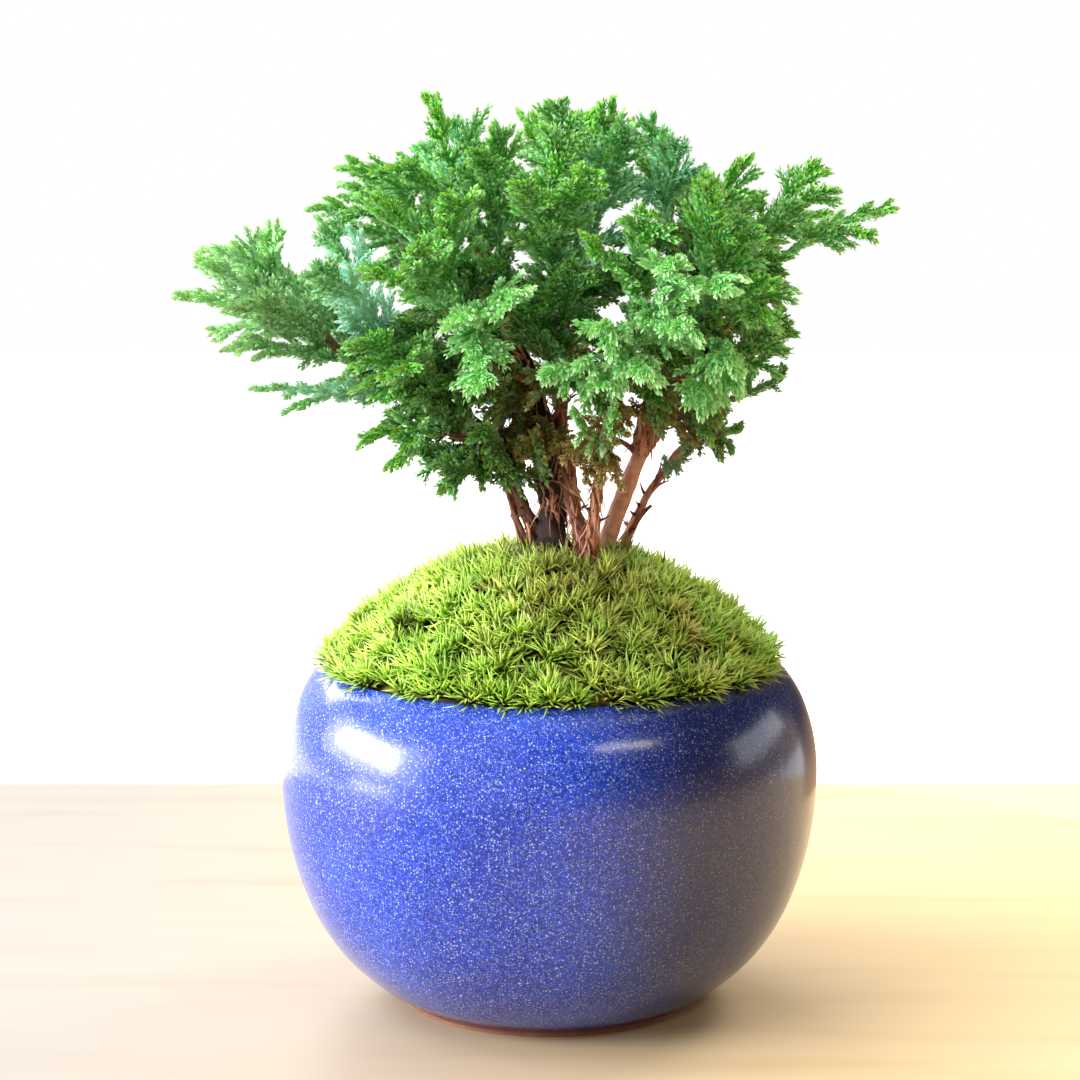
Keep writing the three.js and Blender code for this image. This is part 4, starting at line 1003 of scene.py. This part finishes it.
def bark_tube(samples, start_radius, end_radius, dark, pinkness, rough, seed, sides=20, step=0.6):
    """A stem: a tube whose radius tapers and is rippled by bark.

    The ripple is a sum of sines in the angle and the length, with whole numbers round the turn, so that
    it closes: long ridges, slower lumps, and a ragged part with short waves.
    """
    random = np.random.default_rng(seed)
    length = np.linalg.norm(np.diff(samples, axis=0), axis=1).sum()
    rings = max(6, int(length / step))
    place = np.linspace(0, 1, rings)
    point, side, out, _ = surface_frame(samples, place)
    angle = np.linspace(0, TURN, sides, endpoint=False)[None]
    travel = (place * length)[:, None]
    ripple = np.zeros((rings, sides))
    for waves, pitch, height in BARK_RIPPLES:
        ripple += rough * height * np.sin(waves * angle + TURN * travel / pitch * random.uniform(0.5, 1)
                                          + random.uniform(0, TURN))
    radius = (start_radius + (end_radius - start_radius) * place)[:, None] * (1 + ripple)
    points, faces = tubes(point[None], side[None], out[None], radius[None], sides)
    marks = np.zeros((points.shape[1], 3))
    marks[:, 0] = dark
    marks[:-2, 1] = np.clip(pinkness + ripple.ravel(), 0, 1)
    return points[0], faces, marks


def bark_strips(samples, radii, kind, count, dark, random):
    """Loose bark of one kind: flat ribbons that follow a stem's surface and curl off it.

    A strip starts at a spot within the span of the stem and runs up or down for its length. It stands
    off by its lift times the square of the share t of its length, swings aside by a sine of t, hangs by
    the square of t, and narrows to its end.
    """
    span, length, width, lift, hang = kind
    whole = np.linalg.norm(np.diff(samples, axis=0), axis=1).sum()
    start = random.uniform(*span, (count, 1))
    angle = random.uniform(0, TURN, (count, 1))
    run = random.uniform(0.5, 1, (count, 1)) * length / whole * random.choice([-1, 1], (count, 1))
    t = np.linspace(0, 1, 6)[None]
    place = np.clip(start + run * t, 0, 1)
    point, side, out, _ = (part.reshape(count, -1, 3) for part in surface_frame(samples, place.ravel()))
    angle = angle + random.normal(0, 0.7, (count, 1)) * np.sin(2.2 * t)
    radial = np.cos(angle)[..., None] * side + np.sin(angle)[..., None] * out
    radius = radii[0] + (radii[1] - radii[0]) * place
    stand = 0.96 * radius + lift * random.uniform(0.3, 1, (count, 1)) * t ** 2
    centres = point + stand[..., None] * radial - (hang * t ** 2)[..., None] * UP
    along = unit(np.gradient(centres, axis=1))
    out = across(radial, along)
    side = np.cross(out, along)
    wide = width * random.uniform(0.5, 1, (count, 1)) * (1 - 0.7 * t ** 2)
    points, faces = repeated(*tubes(centres, side, 0.3 * out, wide, 4))
    marks = np.zeros((len(points), 3))
    marks[:, 0] = np.repeat(0.6 * dark * random.uniform(0, 1, count), len(points) // count)
    marks[:, 2] = np.repeat(random.uniform(0.2, 1, count), len(points) // count)
    return points, faces, marks


def twig_tubes(roots, bends, ends, start_radius, end_radius, dark=0.35, rings=8, sides=7):
    """Bare twigs: tapering tubes along quadratic curves from root through bend to end."""
    t = np.linspace(0, 1, rings)[None, :, None]
    a, b, c = (points[:, None] for points in (roots, bends, ends))
    centres, along = bezier(a, b, c, t), bezier_along(a, b, c, t)
    out = across(np.broadcast_to([0.3, -0.2, 1.0], along.shape), along)
    side = np.cross(out, along)
    radii = start_radius + (end_radius - start_radius) * t[..., 0] * np.ones((len(roots), 1))
    points, faces = repeated(*tubes(centres, side, out, radii, sides))
    marks = np.zeros((len(points), 3))
    marks[:, 0] = dark
    return points, faces, marks


def stubs(samples, radii, count, random):
    """Short thorn-like stubs where shoots have died: they taper from the bark outwards and up."""
    point, side, out, along = surface_frame(samples, random.uniform(*STUB_SPAN, count))
    angle = random.uniform(0, TURN, (count, 1))
    radial = np.cos(angle) * side + np.sin(angle) * out
    long = random.uniform(0.8, 2.4, (count, 1))
    root = point + 0.6 * min(radii) * radial
    bend = point + (np.mean(radii) + 0.4 * long) * radial + 0.1 * long * along
    end = point + (np.mean(radii) + long) * radial + random.uniform(0.2, 0.9, (count, 1)) * long * along
    return twig_tubes(root, bend, end, 0.5, 0.12, dark=0.6, rings=4, sides=5)


def dead_twigs(paths):
    """The bare twigs under the leaves, each from its limb to its tip, raised in the middle."""
    roots = np.array([at_places(paths[limb], place)[0][0] for limb, place, _ in DEAD_TWIGS])
    ends = np.array([tip for _, _, tip in DEAD_TWIGS], float)
    bends = (roots + ends) / 2 + TWIG_ARCH * UP
    return twig_tubes(roots, bends, ends, *DEAD_TWIG_RADII)


# Sprays

def lay_out_sprays(paths):
    """Where each spray's twig leaves its limb, and the curve of each of its ribs.

    A twig leaves mostly square to its limb, and runs bare until the leafy length is left. A rib is a
    quadratic curve to its tip, raised in the middle, and the side ribs start along the main one.
    """
    sprays = []
    for name, (limb, place, finish, *tips) in SPRAYS.items():
        (root,), (along,) = at_places(paths[limb], place)
        _, start_radius, end_radius = LIMBS[limb]
        limb_radius = start_radius + (end_radius - start_radius) * place
        middle = np.mean(tips, axis=0)
        reach = np.linalg.norm(middle - root)
        bare = max(reach - LEAFY_LENGTH, 0.1 * reach, limb_radius + 2)
        leave = unit(middle - root)
        if place < 1:
            leave = unit(leave - LEAVE_ACROSS * np.dot(leave, along) * along)
        sprays.append({"name": name, "finish": finish, "root": root, "base": root + leave * bare,
                       "tips": np.array(tips, float)})
    return sprays


def spread_ribs(sprays, paths):
    """The ribs as curves a-b-c, bent apart where those of different sprays, or limbs, come close.

    In each round every rib's bend moves away from all points nearer than the spacing, by a share of
    what is missing, and by no more than one step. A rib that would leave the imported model's box is
    shortened. The result is each rib's spray and its a, b and c.
    """
    owner = np.concatenate([[i] * len(spray["tips"]) for i, spray in enumerate(sprays)])
    order = np.concatenate([np.arange(len(spray["tips"])) for spray in sprays])
    main = np.arange(len(owner)) - order
    side_place = np.array(SIDE_PLACES)[order][:, None]
    a = np.array([sprays[i]["base"] for i in owner])
    c = np.concatenate([spray["tips"] for spray in sprays])
    b = (a + c) / 2
    b[:, 2] += RIB_RISE * np.linalg.norm(c - a, axis=1)
    a = bezier(a[main], b[main], c[main], side_place)
    limbs = np.concatenate([at_places(path, np.linspace(0, 1, 17))[0] for path in paths.values()])
    t = np.array(RIB_SPOTS)[None, :, None]
    same = np.repeat(owner, t.size)[:, None] == np.repeat(owner, t.size)[None]
    for _ in range(SPREAD_ROUNDS):
        spots = bezier(a[:, None], b[:, None], c[:, None], t).reshape(-1, 3)
        push = np.zeros_like(spots)
        for others, apart in ((spots, same), (limbs, None)):
            away = spots[:, None] - others[None]
            distance = np.linalg.norm(away, axis=2)
            lack = np.maximum(RIB_SPACING - distance, 0)
            if apart is not None:
                lack[apart] = 0
            push += np.sum(away * (SPREAD_SHARE * lack / np.maximum(distance, 1e-9))[..., None], axis=1)
        push = push.reshape(len(a), -1, 3).sum(axis=1)
        size = np.linalg.norm(push, axis=1, keepdims=True)
        b = b + push * np.minimum(1, SPREAD_STEP / np.maximum(size, 1e-9))
        side_start = bezier(a[main], b[main], c[main], side_place)
        a = np.where(order[:, None] > 0, side_start, a)
    c = b + (c - b) * room_inside(b, c - b)
    return owner, a, b, c


def rib_face(point, along):
    """The way a leafy rib faces: away from the middle of the crown and somewhat up, square to the rib."""
    return across(unit(point - CROWN_CENTRE) + FACE_UP * UP, along)


def grow_shoots(a, b, c, breadth, droop, random):
    """Side shoots and their own shootlets on a rib a-b-c, as curves with the way they face.

    Shoots stand alternately left and right, lean forward, curve on towards the rib's tip and hang. Every
    third is turned up out of the fan and is shorter. They are longest in the rib's first third and
    shorten to its tip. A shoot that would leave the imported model's box is shortened. Each group is
    roots, bends, ends, faces and places along the rib.
    """
    length = np.linalg.norm(b - a) + np.linalg.norm(c - b)
    count = max(6, int(length / SHOOT_PITCH))
    place = np.linspace(0.05, 0.95, count)[:, None]
    point, along = bezier(a, b, c, place), bezier_along(a, b, c, place)
    out = rib_face(point, along)
    hand = np.where(np.arange(count) % 2, 1.0, -1.0)[:, None]
    upright = (np.arange(count) % UPRIGHT_EVERY == UPRIGHT_EVERY - 1)[:, None]
    turn = np.radians(UPRIGHT_TURN * upright + random.normal(0, 8, (count, 1)))
    side = np.cos(turn) * hand * np.cross(out, along) + np.sin(turn) * out
    lean = np.radians(random.uniform(*SHOOT_LEAN, (count, 1)) - SHOOT_LEAN_LOSS * place)
    lift = random.normal(0.05, 0.2, (count, 1))
    go = unit(np.cos(lean) * along + np.sin(lean) * side + lift * out)
    full = 0.25 + 0.75 * np.sin(np.pi * (0.3 + 0.68 * place))
    reach = breadth * SHOOT_LENGTH * full * random.uniform(0.75, 1.12, (count, 1))
    reach = reach * np.where(upright, UPRIGHT_SHARE, 1.0)
    onward = unit(go + 0.25 * along - droop * UP)
    reach = reach * room_inside(point, reach * onward)
    bend = point + 0.5 * reach * go
    end = point + reach * onward
    shoots = [(point, bend, end, out, place[:, 0])]
    for spot, share, way in SHOOTLETS:
        root = bezier(point, bend, end, spot)
        forward = bezier_along(point, bend, end, spot)
        face = across(out, forward)
        aside = way * np.cross(face, forward)
        lean = np.radians(random.uniform(*SHOOTLET_LEAN, (count, 1)))
        lift = random.normal(0.05, 0.18, (count, 1))
        go = unit(np.cos(lean) * forward + np.sin(lean) * aside + lift * face)
        onward = unit(go + 0.2 * forward - 0.6 * droop * UP)
        small = share * reach * random.uniform(0.8, 1.15, (count, 1))
        small = small * room_inside(root, small * onward)
        shoots.append((root, root + 0.5 * small * go, root + small * onward, face, place[:, 0]))
    return shoots


def room_inside(point, move):
    """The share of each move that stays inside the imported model's box, less a leaf's room."""
    low, high = BOX_LOW / MM + OUTSIDE_ROOM, BOX_HIGH / MM - OUTSIDE_ROOM
    limit = np.where(move > 0, high, low)
    share = (limit - point) / np.where(np.abs(move) < 1e-6, 1e-6, move)
    return np.clip(share.min(axis=1, keepdims=True), 0.2, 1)


def clothe(a, b, c, face, pairs, tone, bloom, leaf, random):
    """Shoots a-b-c clothed in scale leaves: a slim core and pairs of leaves, each pair square to the last.

    A leaf is a small arched kite of four points: its root, its two widest points, raised, and its tip. It
    stands off the shoot by an angle that closes towards the shoot's tip, and is longest near the middle.
    """
    count = len(a)
    a, b, c = (points[:, None] for points in (a, b, c))
    t = np.linspace(0, 0.96, 3)[None, :, None]
    centres, along = bezier(a, b, c, t), bezier_along(a, b, c, t)
    out = across(np.broadcast_to(face[:, None], along.shape), along)
    core_radius = CORE_RADIUS * np.array([1.0, 0.95, 0.35])[None] * leaf[:, None]
    core_points, core_faces = repeated(*tubes(centres, np.cross(out, along), out, core_radius, 4))
    # Painted shade: the core is darker than the leaves, for dark gaps between them
    core_marks = np.zeros((count, len(core_points) // count, 3))
    core_marks[..., 0] = 0.15
    core_marks[..., 1] = 0.5 * tone[:, None]
    core_marks[..., 2] = 0.7 * bloom[:, None]

    place = (np.arange(pairs) + 0.4) / pairs
    t = place[None, :, None]
    point, along = bezier(a, b, c, t), bezier_along(a, b, c, t)
    out = across(np.broadcast_to(face[:, None], along.shape), along)
    side = np.cross(out, along)
    turn = ((np.arange(pairs) % 2)[:, None] * 0.25 + np.array([0.0, 0.5])) * TURN
    turn = turn[None] + random.normal(0, 0.22, (count, pairs, 2))
    radial = np.cos(turn)[..., None] * side[:, :, None] + np.sin(turn)[..., None] * out[:, :, None]
    tilt = np.radians(LEAF_LEAN - LEAF_LEAN_LOSS * place)[None, :, None]
    tilt = tilt + random.normal(0, 0.09, (count, pairs, 2))
    forward = along[:, :, None]
    go = np.cos(tilt)[..., None] * forward + np.sin(tilt)[..., None] * radial
    normal = np.cos(tilt)[..., None] * radial - np.sin(tilt)[..., None] * forward
    wide = np.cross(normal, go)
    shape = 0.7 + 0.4 * np.sin(np.pi * (0.15 + 0.75 * place))
    flat = 1.08 - 0.22 * np.abs(np.sin(turn))
    size = leaf[:, None, None] * shape[None, :, None] * flat * random.uniform(0.85, 1.15, turn.shape)
    size = size[..., None]
    root = point[:, :, None] + 0.35 * CORE_RADIUS * radial
    widest = root + LEAF_WIDEST * LEAF_LENGTH * size * go + LEAF_ARCH * size * normal
    half_width = 0.5 * LEAF_WIDTH * size * wide
    tip = root + LEAF_LENGTH * size * go
    corners = np.stack([widest - half_width, widest + half_width, root, tip], axis=3)
    leaf_points, leaf_faces = repeated(corners.reshape(-1, 4, 3), np.array(LEAF_FACES))
    beneath = np.clip(-np.sum(radial * out[:, :, None], axis=-1), 0, 1)
    marks = np.zeros(corners.shape[:4] + (3,))
    marks[..., 0] = [0.45, 0.45, 0.0, 1.0]
    marks[..., 1] = tone[:, None, None, None]
    marks[..., 2] = np.maximum(0.45 * beneath, bloom[:, None, None])[..., None]
    core = (core_points, core_faces, core_marks.reshape(-1, 3))
    return joined(core, (leaf_points, leaf_faces, marks.reshape(-1, 3)))


def dried_shade(place, random):
    """Tone and bloom of dried shoots: any tone, and no bloom."""
    return random.uniform(0, 1, len(place)), np.zeros(len(place))


def inner_shade(place, random):
    """Tone and bloom of the inner shoots: a tone that lightens along the sprig, and hardly any bloom."""
    tone = 0.25 + 0.3 * place + random.normal(0, 0.15, len(place))
    bloom = random.normal(0.05, 0.1, len(place))
    return np.clip(tone, 0, 1), np.clip(bloom, 0, 1)


def grow_sprigs(paths, rows, habit, shade, seed):
    """Short sprigs along the limbs: ribs that start square to the wood, arch and sag, with leafy shoots."""
    random = np.random.default_rng(seed)
    shapes = []
    for limb, span, count in rows:
        roots, along = at_places(paths[limb], random.uniform(*span, count))
        aim = across(random.normal(0, 1, (count, 3)) * habit["spread"] + habit["pull"], along)
        aim = unit(aim + habit["follow"] * along)
        reach = random.uniform(*habit["reach"], (count, 1))
        ends = roots + reach * aim
        if habit["sag"]:
            ends = ends - random.uniform(0, habit["sag"], (count, 1)) * UP
        bends = roots + 0.5 * reach * aim + TWIG_ARCH * UP
        for a, b, c in zip(roots, bends, ends):
            groups = grow_shoots(a, b, c, habit["breadth"], habit["droop"], random)
            for k, (*curve, face, place) in enumerate(groups):
                tone, bloom = shade(place, random)
                leaf = np.full(len(place), habit["leaf"])
                pairs = habit["pairs"][min(k, 1)]
                shapes.append(clothe(*curve, face, pairs, tone, bloom, leaf, random))
        points, faces, marks = twig_tubes(roots, bends, ends, *habit["twig"], rings=6, sides=5)
        marks[:] = habit["twig_marks"]
        shapes.append((points, faces, marks))
    return joined(*shapes)


def spray_shape(ribs, seed, breadth, droop, bloom):
    """One spray: every rib's own leaves, its side shoots and their shootlets.

    The bloom lies on the inner part of each rib, and fades towards the tip.
    """
    random = np.random.default_rng(seed)
    shapes = []

    # Painted shade: shoots deep in the crown get a darker tone and outer ones a lighter one, with a random
    # spread
    def painted_shade_and_tone_at(points):
        outer = (np.linalg.norm(points - CROWN_CENTRE, axis=1) - PAINTED_SHADE_REACH) / PAINTED_SHADE_FADE_REACH
        return np.clip(0.2 + 0.8 * np.clip(outer, 0, 1) + random.normal(0, 0.14, len(points)), 0, 1)

    def bloom_at(place):
        inner = np.clip((0.72 - place) / 0.3, 0, 1)
        return np.clip(bloom * inner + random.normal(0, 0.06, len(place)), 0, 1)

    for a, b, c in ribs:
        groups = grow_shoots(a, b, c, breadth, droop, random)
        for k, (root, bend, end, face, place) in enumerate(groups):
            whole, size = (SHOOT_PAIRS, 1.0) if k == 0 else (SHOOTLET_PAIRS, 0.9)
            pairs = max(3, round(whole * min(1, breadth)))
            leaf = size * np.clip(np.linalg.norm(end - root, axis=1) / FULL_SHOOT, 0.4, 1)
            tone, bloomed = painted_shade_and_tone_at(end), bloom_at(place)
            shapes.append(clothe(root, bend, end, face, pairs, tone, bloomed, leaf, random))
        rows = np.linspace(0, 1, 5)
        start, stop = rows[:-1, None], rows[1:, None]
        first, last = bezier(a, b, c, start), bezier(a, b, c, stop)
        middle = 2 * bezier(a, b, c, (start + stop) / 2) - 0.5 * (first + last)
        face = rib_face(first, bezier_along(a, b, c, start))
        tone, bloomed = painted_shade_and_tone_at(last), bloom_at(rows[:-1])
        leaf = np.full(len(last), 0.95)
        shapes.append(clothe(first, middle, last, face, RIB_PAIRS, tone, bloomed, leaf, random))
    return joined(*shapes)


# The plant

def finish_fillings():
    """Gives the soil and the drain screen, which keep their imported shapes, their own finishes."""
    for node, finish in (("soil", soil_finish()), ("drain_screen", screen_finish())):
        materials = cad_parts[node].data.materials
        materials.clear()
        materials.append(finish)


def make_moss(paths):
    """The cushion and its tufts, which leave room for the stems."""
    places = np.linspace(0, 0.5, 24)
    stems = np.concatenate([
        np.column_stack([at_places(paths[name], places)[0], np.full(len(places), LIMBS[name][1])])
        for name in STANDING_STEMS
    ])
    shape = joined(moss_bed(), moss_tufts(stems))
    add_piece("moss_cushion", shape, moss_finish(), ["moss"])


def make_stems(paths, bark):
    """Every stem and limb, with its loose bark and stubs."""
    shapes = [
        bark_tube(paths[name], start, end, *BARK_LOOKS.get(name, USUAL_BARK), seed=LIMB_SEED + i)
        for i, (name, (_, start, end)) in enumerate(LIMBS.items())
    ]
    random = np.random.default_rng(LOOSE_BARK_SEED)
    for name, (strips, fibres, thorns) in LOOSE_BARK.items():
        radii, dark = LIMBS[name][1:], BARK_LOOKS[name][0]
        shapes.append(bark_strips(paths[name], radii, BARK_STRIP, strips, dark, random))
        shapes.append(bark_strips(paths[name], radii, BARK_FIBRE, fibres, dark, random))
        shapes.append(stubs(paths[name], radii, thorns, random))
    add_piece("stems", joined(*shapes), bark, ["wood"])


def make_twigs(paths, sprays, bark):
    """The bare twigs that carry the sprays, raised in the middle, and the dead ones."""
    roots = np.array([spray["root"] for spray in sprays])
    bases = np.array([spray["base"] for spray in sprays])
    bends = (roots + bases) / 2
    bends[:, 2] += TWIG_RISE * np.linalg.norm(bases - roots, axis=1)
    leafy_twigs = twig_tubes(roots, bends, bases, *TWIG_RADII)
    add_piece("twigs", joined(leafy_twigs, dead_twigs(paths)), bark, ["wood"])


def make_crown(paths, sprays):
    """The dried sprigs, the inner sprigs and the leafy sprays."""
    finishes = {name: leaf_finish("foliage_" + name, *shades) for name, shades in FOLIAGE.items()}
    dried = grow_sprigs(paths, DEAD_SPRIGS, DRIED_HABIT, dried_shade, DRIED_SEED)
    inner = grow_sprigs(paths, INNER_SPRIGS, INNER_HABIT, inner_shade, INNER_SEED)
    dried_finish = leaf_finish("dried_leaves", *DRIED_LEAVES)
    add_piece("dried_sprigs", dried, dried_finish, ["wood"], smooth=False)
    # The inner sprigs take the darker copy of the leaves, as painted shade
    add_piece("inner_sprigs", inner, finishes["deep"], smooth=False)
    owner, a, b, c = spread_ribs(sprays, paths)
    for i, spray in enumerate(sprays):
        mine, name, finish = owner == i, spray["name"], spray["finish"]
        habit = BREADTH.get(name, 1.0), DROOP.get(name, USUAL_DROOP), BLOOM.get(name, USUAL_BLOOM)
        shape = spray_shape(list(zip(a[mine], b[mine], c[mine])), SPRAY_SEED + i, *habit)
        add_piece("leafy_" + name, shape, finishes[finish], ["spray_" + name],
                  smooth=False)


# Stage, light and camera

def add_stage(name, points, faces, material):
    """A piece of the stage, from points in metres."""
    mesh = bpy.data.meshes.new(name)
    mesh.from_pydata(points.tolist(), [], faces)
    mesh.materials.append(material)
    piece = bpy.data.objects.new(name, mesh)
    bpy.context.scene.collection.objects.link(piece)
    return piece


def make_floor():
    """A pale wooden table top, warmer to the right, that turns white at its far edge and out to the left.

    It is a disc that ends at the card, with its points evenly round its rim.
    """
    f = Finish("table")
    where = f.node("SeparateXYZ", Vector=f.place()).outputs
    far = f.between(where["Y"], TABLE_EDGE - TABLE_EDGE_SOFT, TABLE_EDGE + TABLE_EDGE_SOFT)
    far = f.maths("MAXIMUM", far, f.between(where["X"], *TABLE_LEFT_FADE))
    warm = f.between(where["X"], *TABLE_TURNS_WARM)
    wood = f.mix(warm, colour(TABLE_LEFT), colour(TABLE_RIGHT))
    grain = f.between(f.noise(f.place((1, 9, 1)), 9, 3), 0.45, 0.75)
    wood = f.mix(f.maths("MULTIPLY", grain, 0.3), wood, colour(TABLE_GRAIN), "MULTIPLY")
    f.shade(Base_Color=f.mix(far, wood, colour("ffffff")), Roughness=0.5)
    angle = np.linspace(0, TURN, TABLE_POINTS, endpoint=False)
    rim = CARD_RADIUS * np.column_stack([np.cos(angle), np.sin(angle), np.zeros_like(angle)])
    add_stage("table", rim, [range(TABLE_POINTS)], f.material)


def make_card(name, ends, radius, only_mirrored=False):
    """A curved card standing on the table, unseen by the camera, as the dim room beyond it.

    Its points are radius (cos a, sin a) at angles a between its two ends. It darkens smoothly upwards
    from the table and inwards from both ends, so that it ends softly in the glaze.
    """
    f = Finish(name)
    where = f.node("SeparateXYZ", Vector=f.place([1 / radius] * 3)).outputs
    risen = f.between(where["Z"], *CARD_RISE)
    from_left = f.between(where["X"], *CARD_FROM_LEFT)
    from_right = f.between(where["Y"], *CARD_FROM_RIGHT)
    dark = f.maths("MULTIPLY", risen, f.maths("MULTIPLY", from_left, from_right))
    f.shade(Base_Color=f.mix(dark, colour(CARD_PALE), colour(CARD_DARK)), Roughness=1.0)
    angle = np.radians(np.linspace(*ends, CARD_POINTS))
    foot = radius * np.column_stack([np.cos(angle), np.sin(angle), np.zeros_like(angle)])
    points = np.concatenate([foot, foot + CARD_HEIGHT * radius * UP])
    k = np.arange(CARD_POINTS - 1)
    faces = np.stack([k, k + 1, k + 1 + CARD_POINTS, k + CARD_POINTS], axis=1)
    card = add_stage(name, points, faces.tolist(), f.material)
    card.visible_camera = False
    card.visible_diffuse = card.visible_shadow = not only_mirrored


def add_light(name, place, target, size, power, tint, mirrored):
    """A soft rectangular light facing a target, unseen by the camera, and mirrored in the glaze or not."""
    data = bpy.data.lights.new(name, "AREA")
    data.shape = "RECTANGLE"
    data.size, data.size_y = size
    data.energy = power
    data.color = tint
    light = bpy.data.objects.new(name, data)
    light.location = place
    light.rotation_euler = (Vector(target) - Vector(place)).to_track_quat("-Z", "Y").to_euler()
    light.visible_camera = False
    light.visible_glossy = mirrored
    bpy.context.scene.collection.objects.link(light)


def make_camera():
    """The photograph's view."""
    data = bpy.data.cameras.new("view")
    data.lens = CAMERA_LENS
    data.sensor_width = SENSOR_WIDTH
    data.clip_start = CLIP_START
    camera = bpy.data.objects.new("view", data)
    camera.location = CAMERA_PLACE
    camera.rotation_euler = (np.radians(90 - CAMERA_PITCH), 0, 0)
    bpy.context.scene.collection.objects.link(camera)
    bpy.context.scene.camera = camera


def make_world():
    """An even white surround."""
    world = bpy.data.worlds.new("white")
    world.use_nodes = True
    background = world.node_tree.nodes["Background"]
    background.inputs["Color"].default_value = (1, 1, 1, 1)
    background.inputs["Strength"].default_value = 1.0
    bpy.context.scene.world = world


paths = limb_paths()
sprays = lay_out_sprays(paths)
bark = bark_finish()
make_pot()
finish_fillings()
make_moss(paths)
make_stems(paths, bark)
make_twigs(paths, sprays, bark)
make_crown(paths, sprays)

make_floor()
make_card("card", CARD_ENDS, CARD_RADIUS)
make_card("rim_card", RIM_CARD_ENDS, RIM_CARD_RADIUS, only_mirrored=True)
make_world()
make_camera()
for light in LIGHTS:
    add_light(*light)
bpy.context.scene.view_settings.view_transform = "Standard"
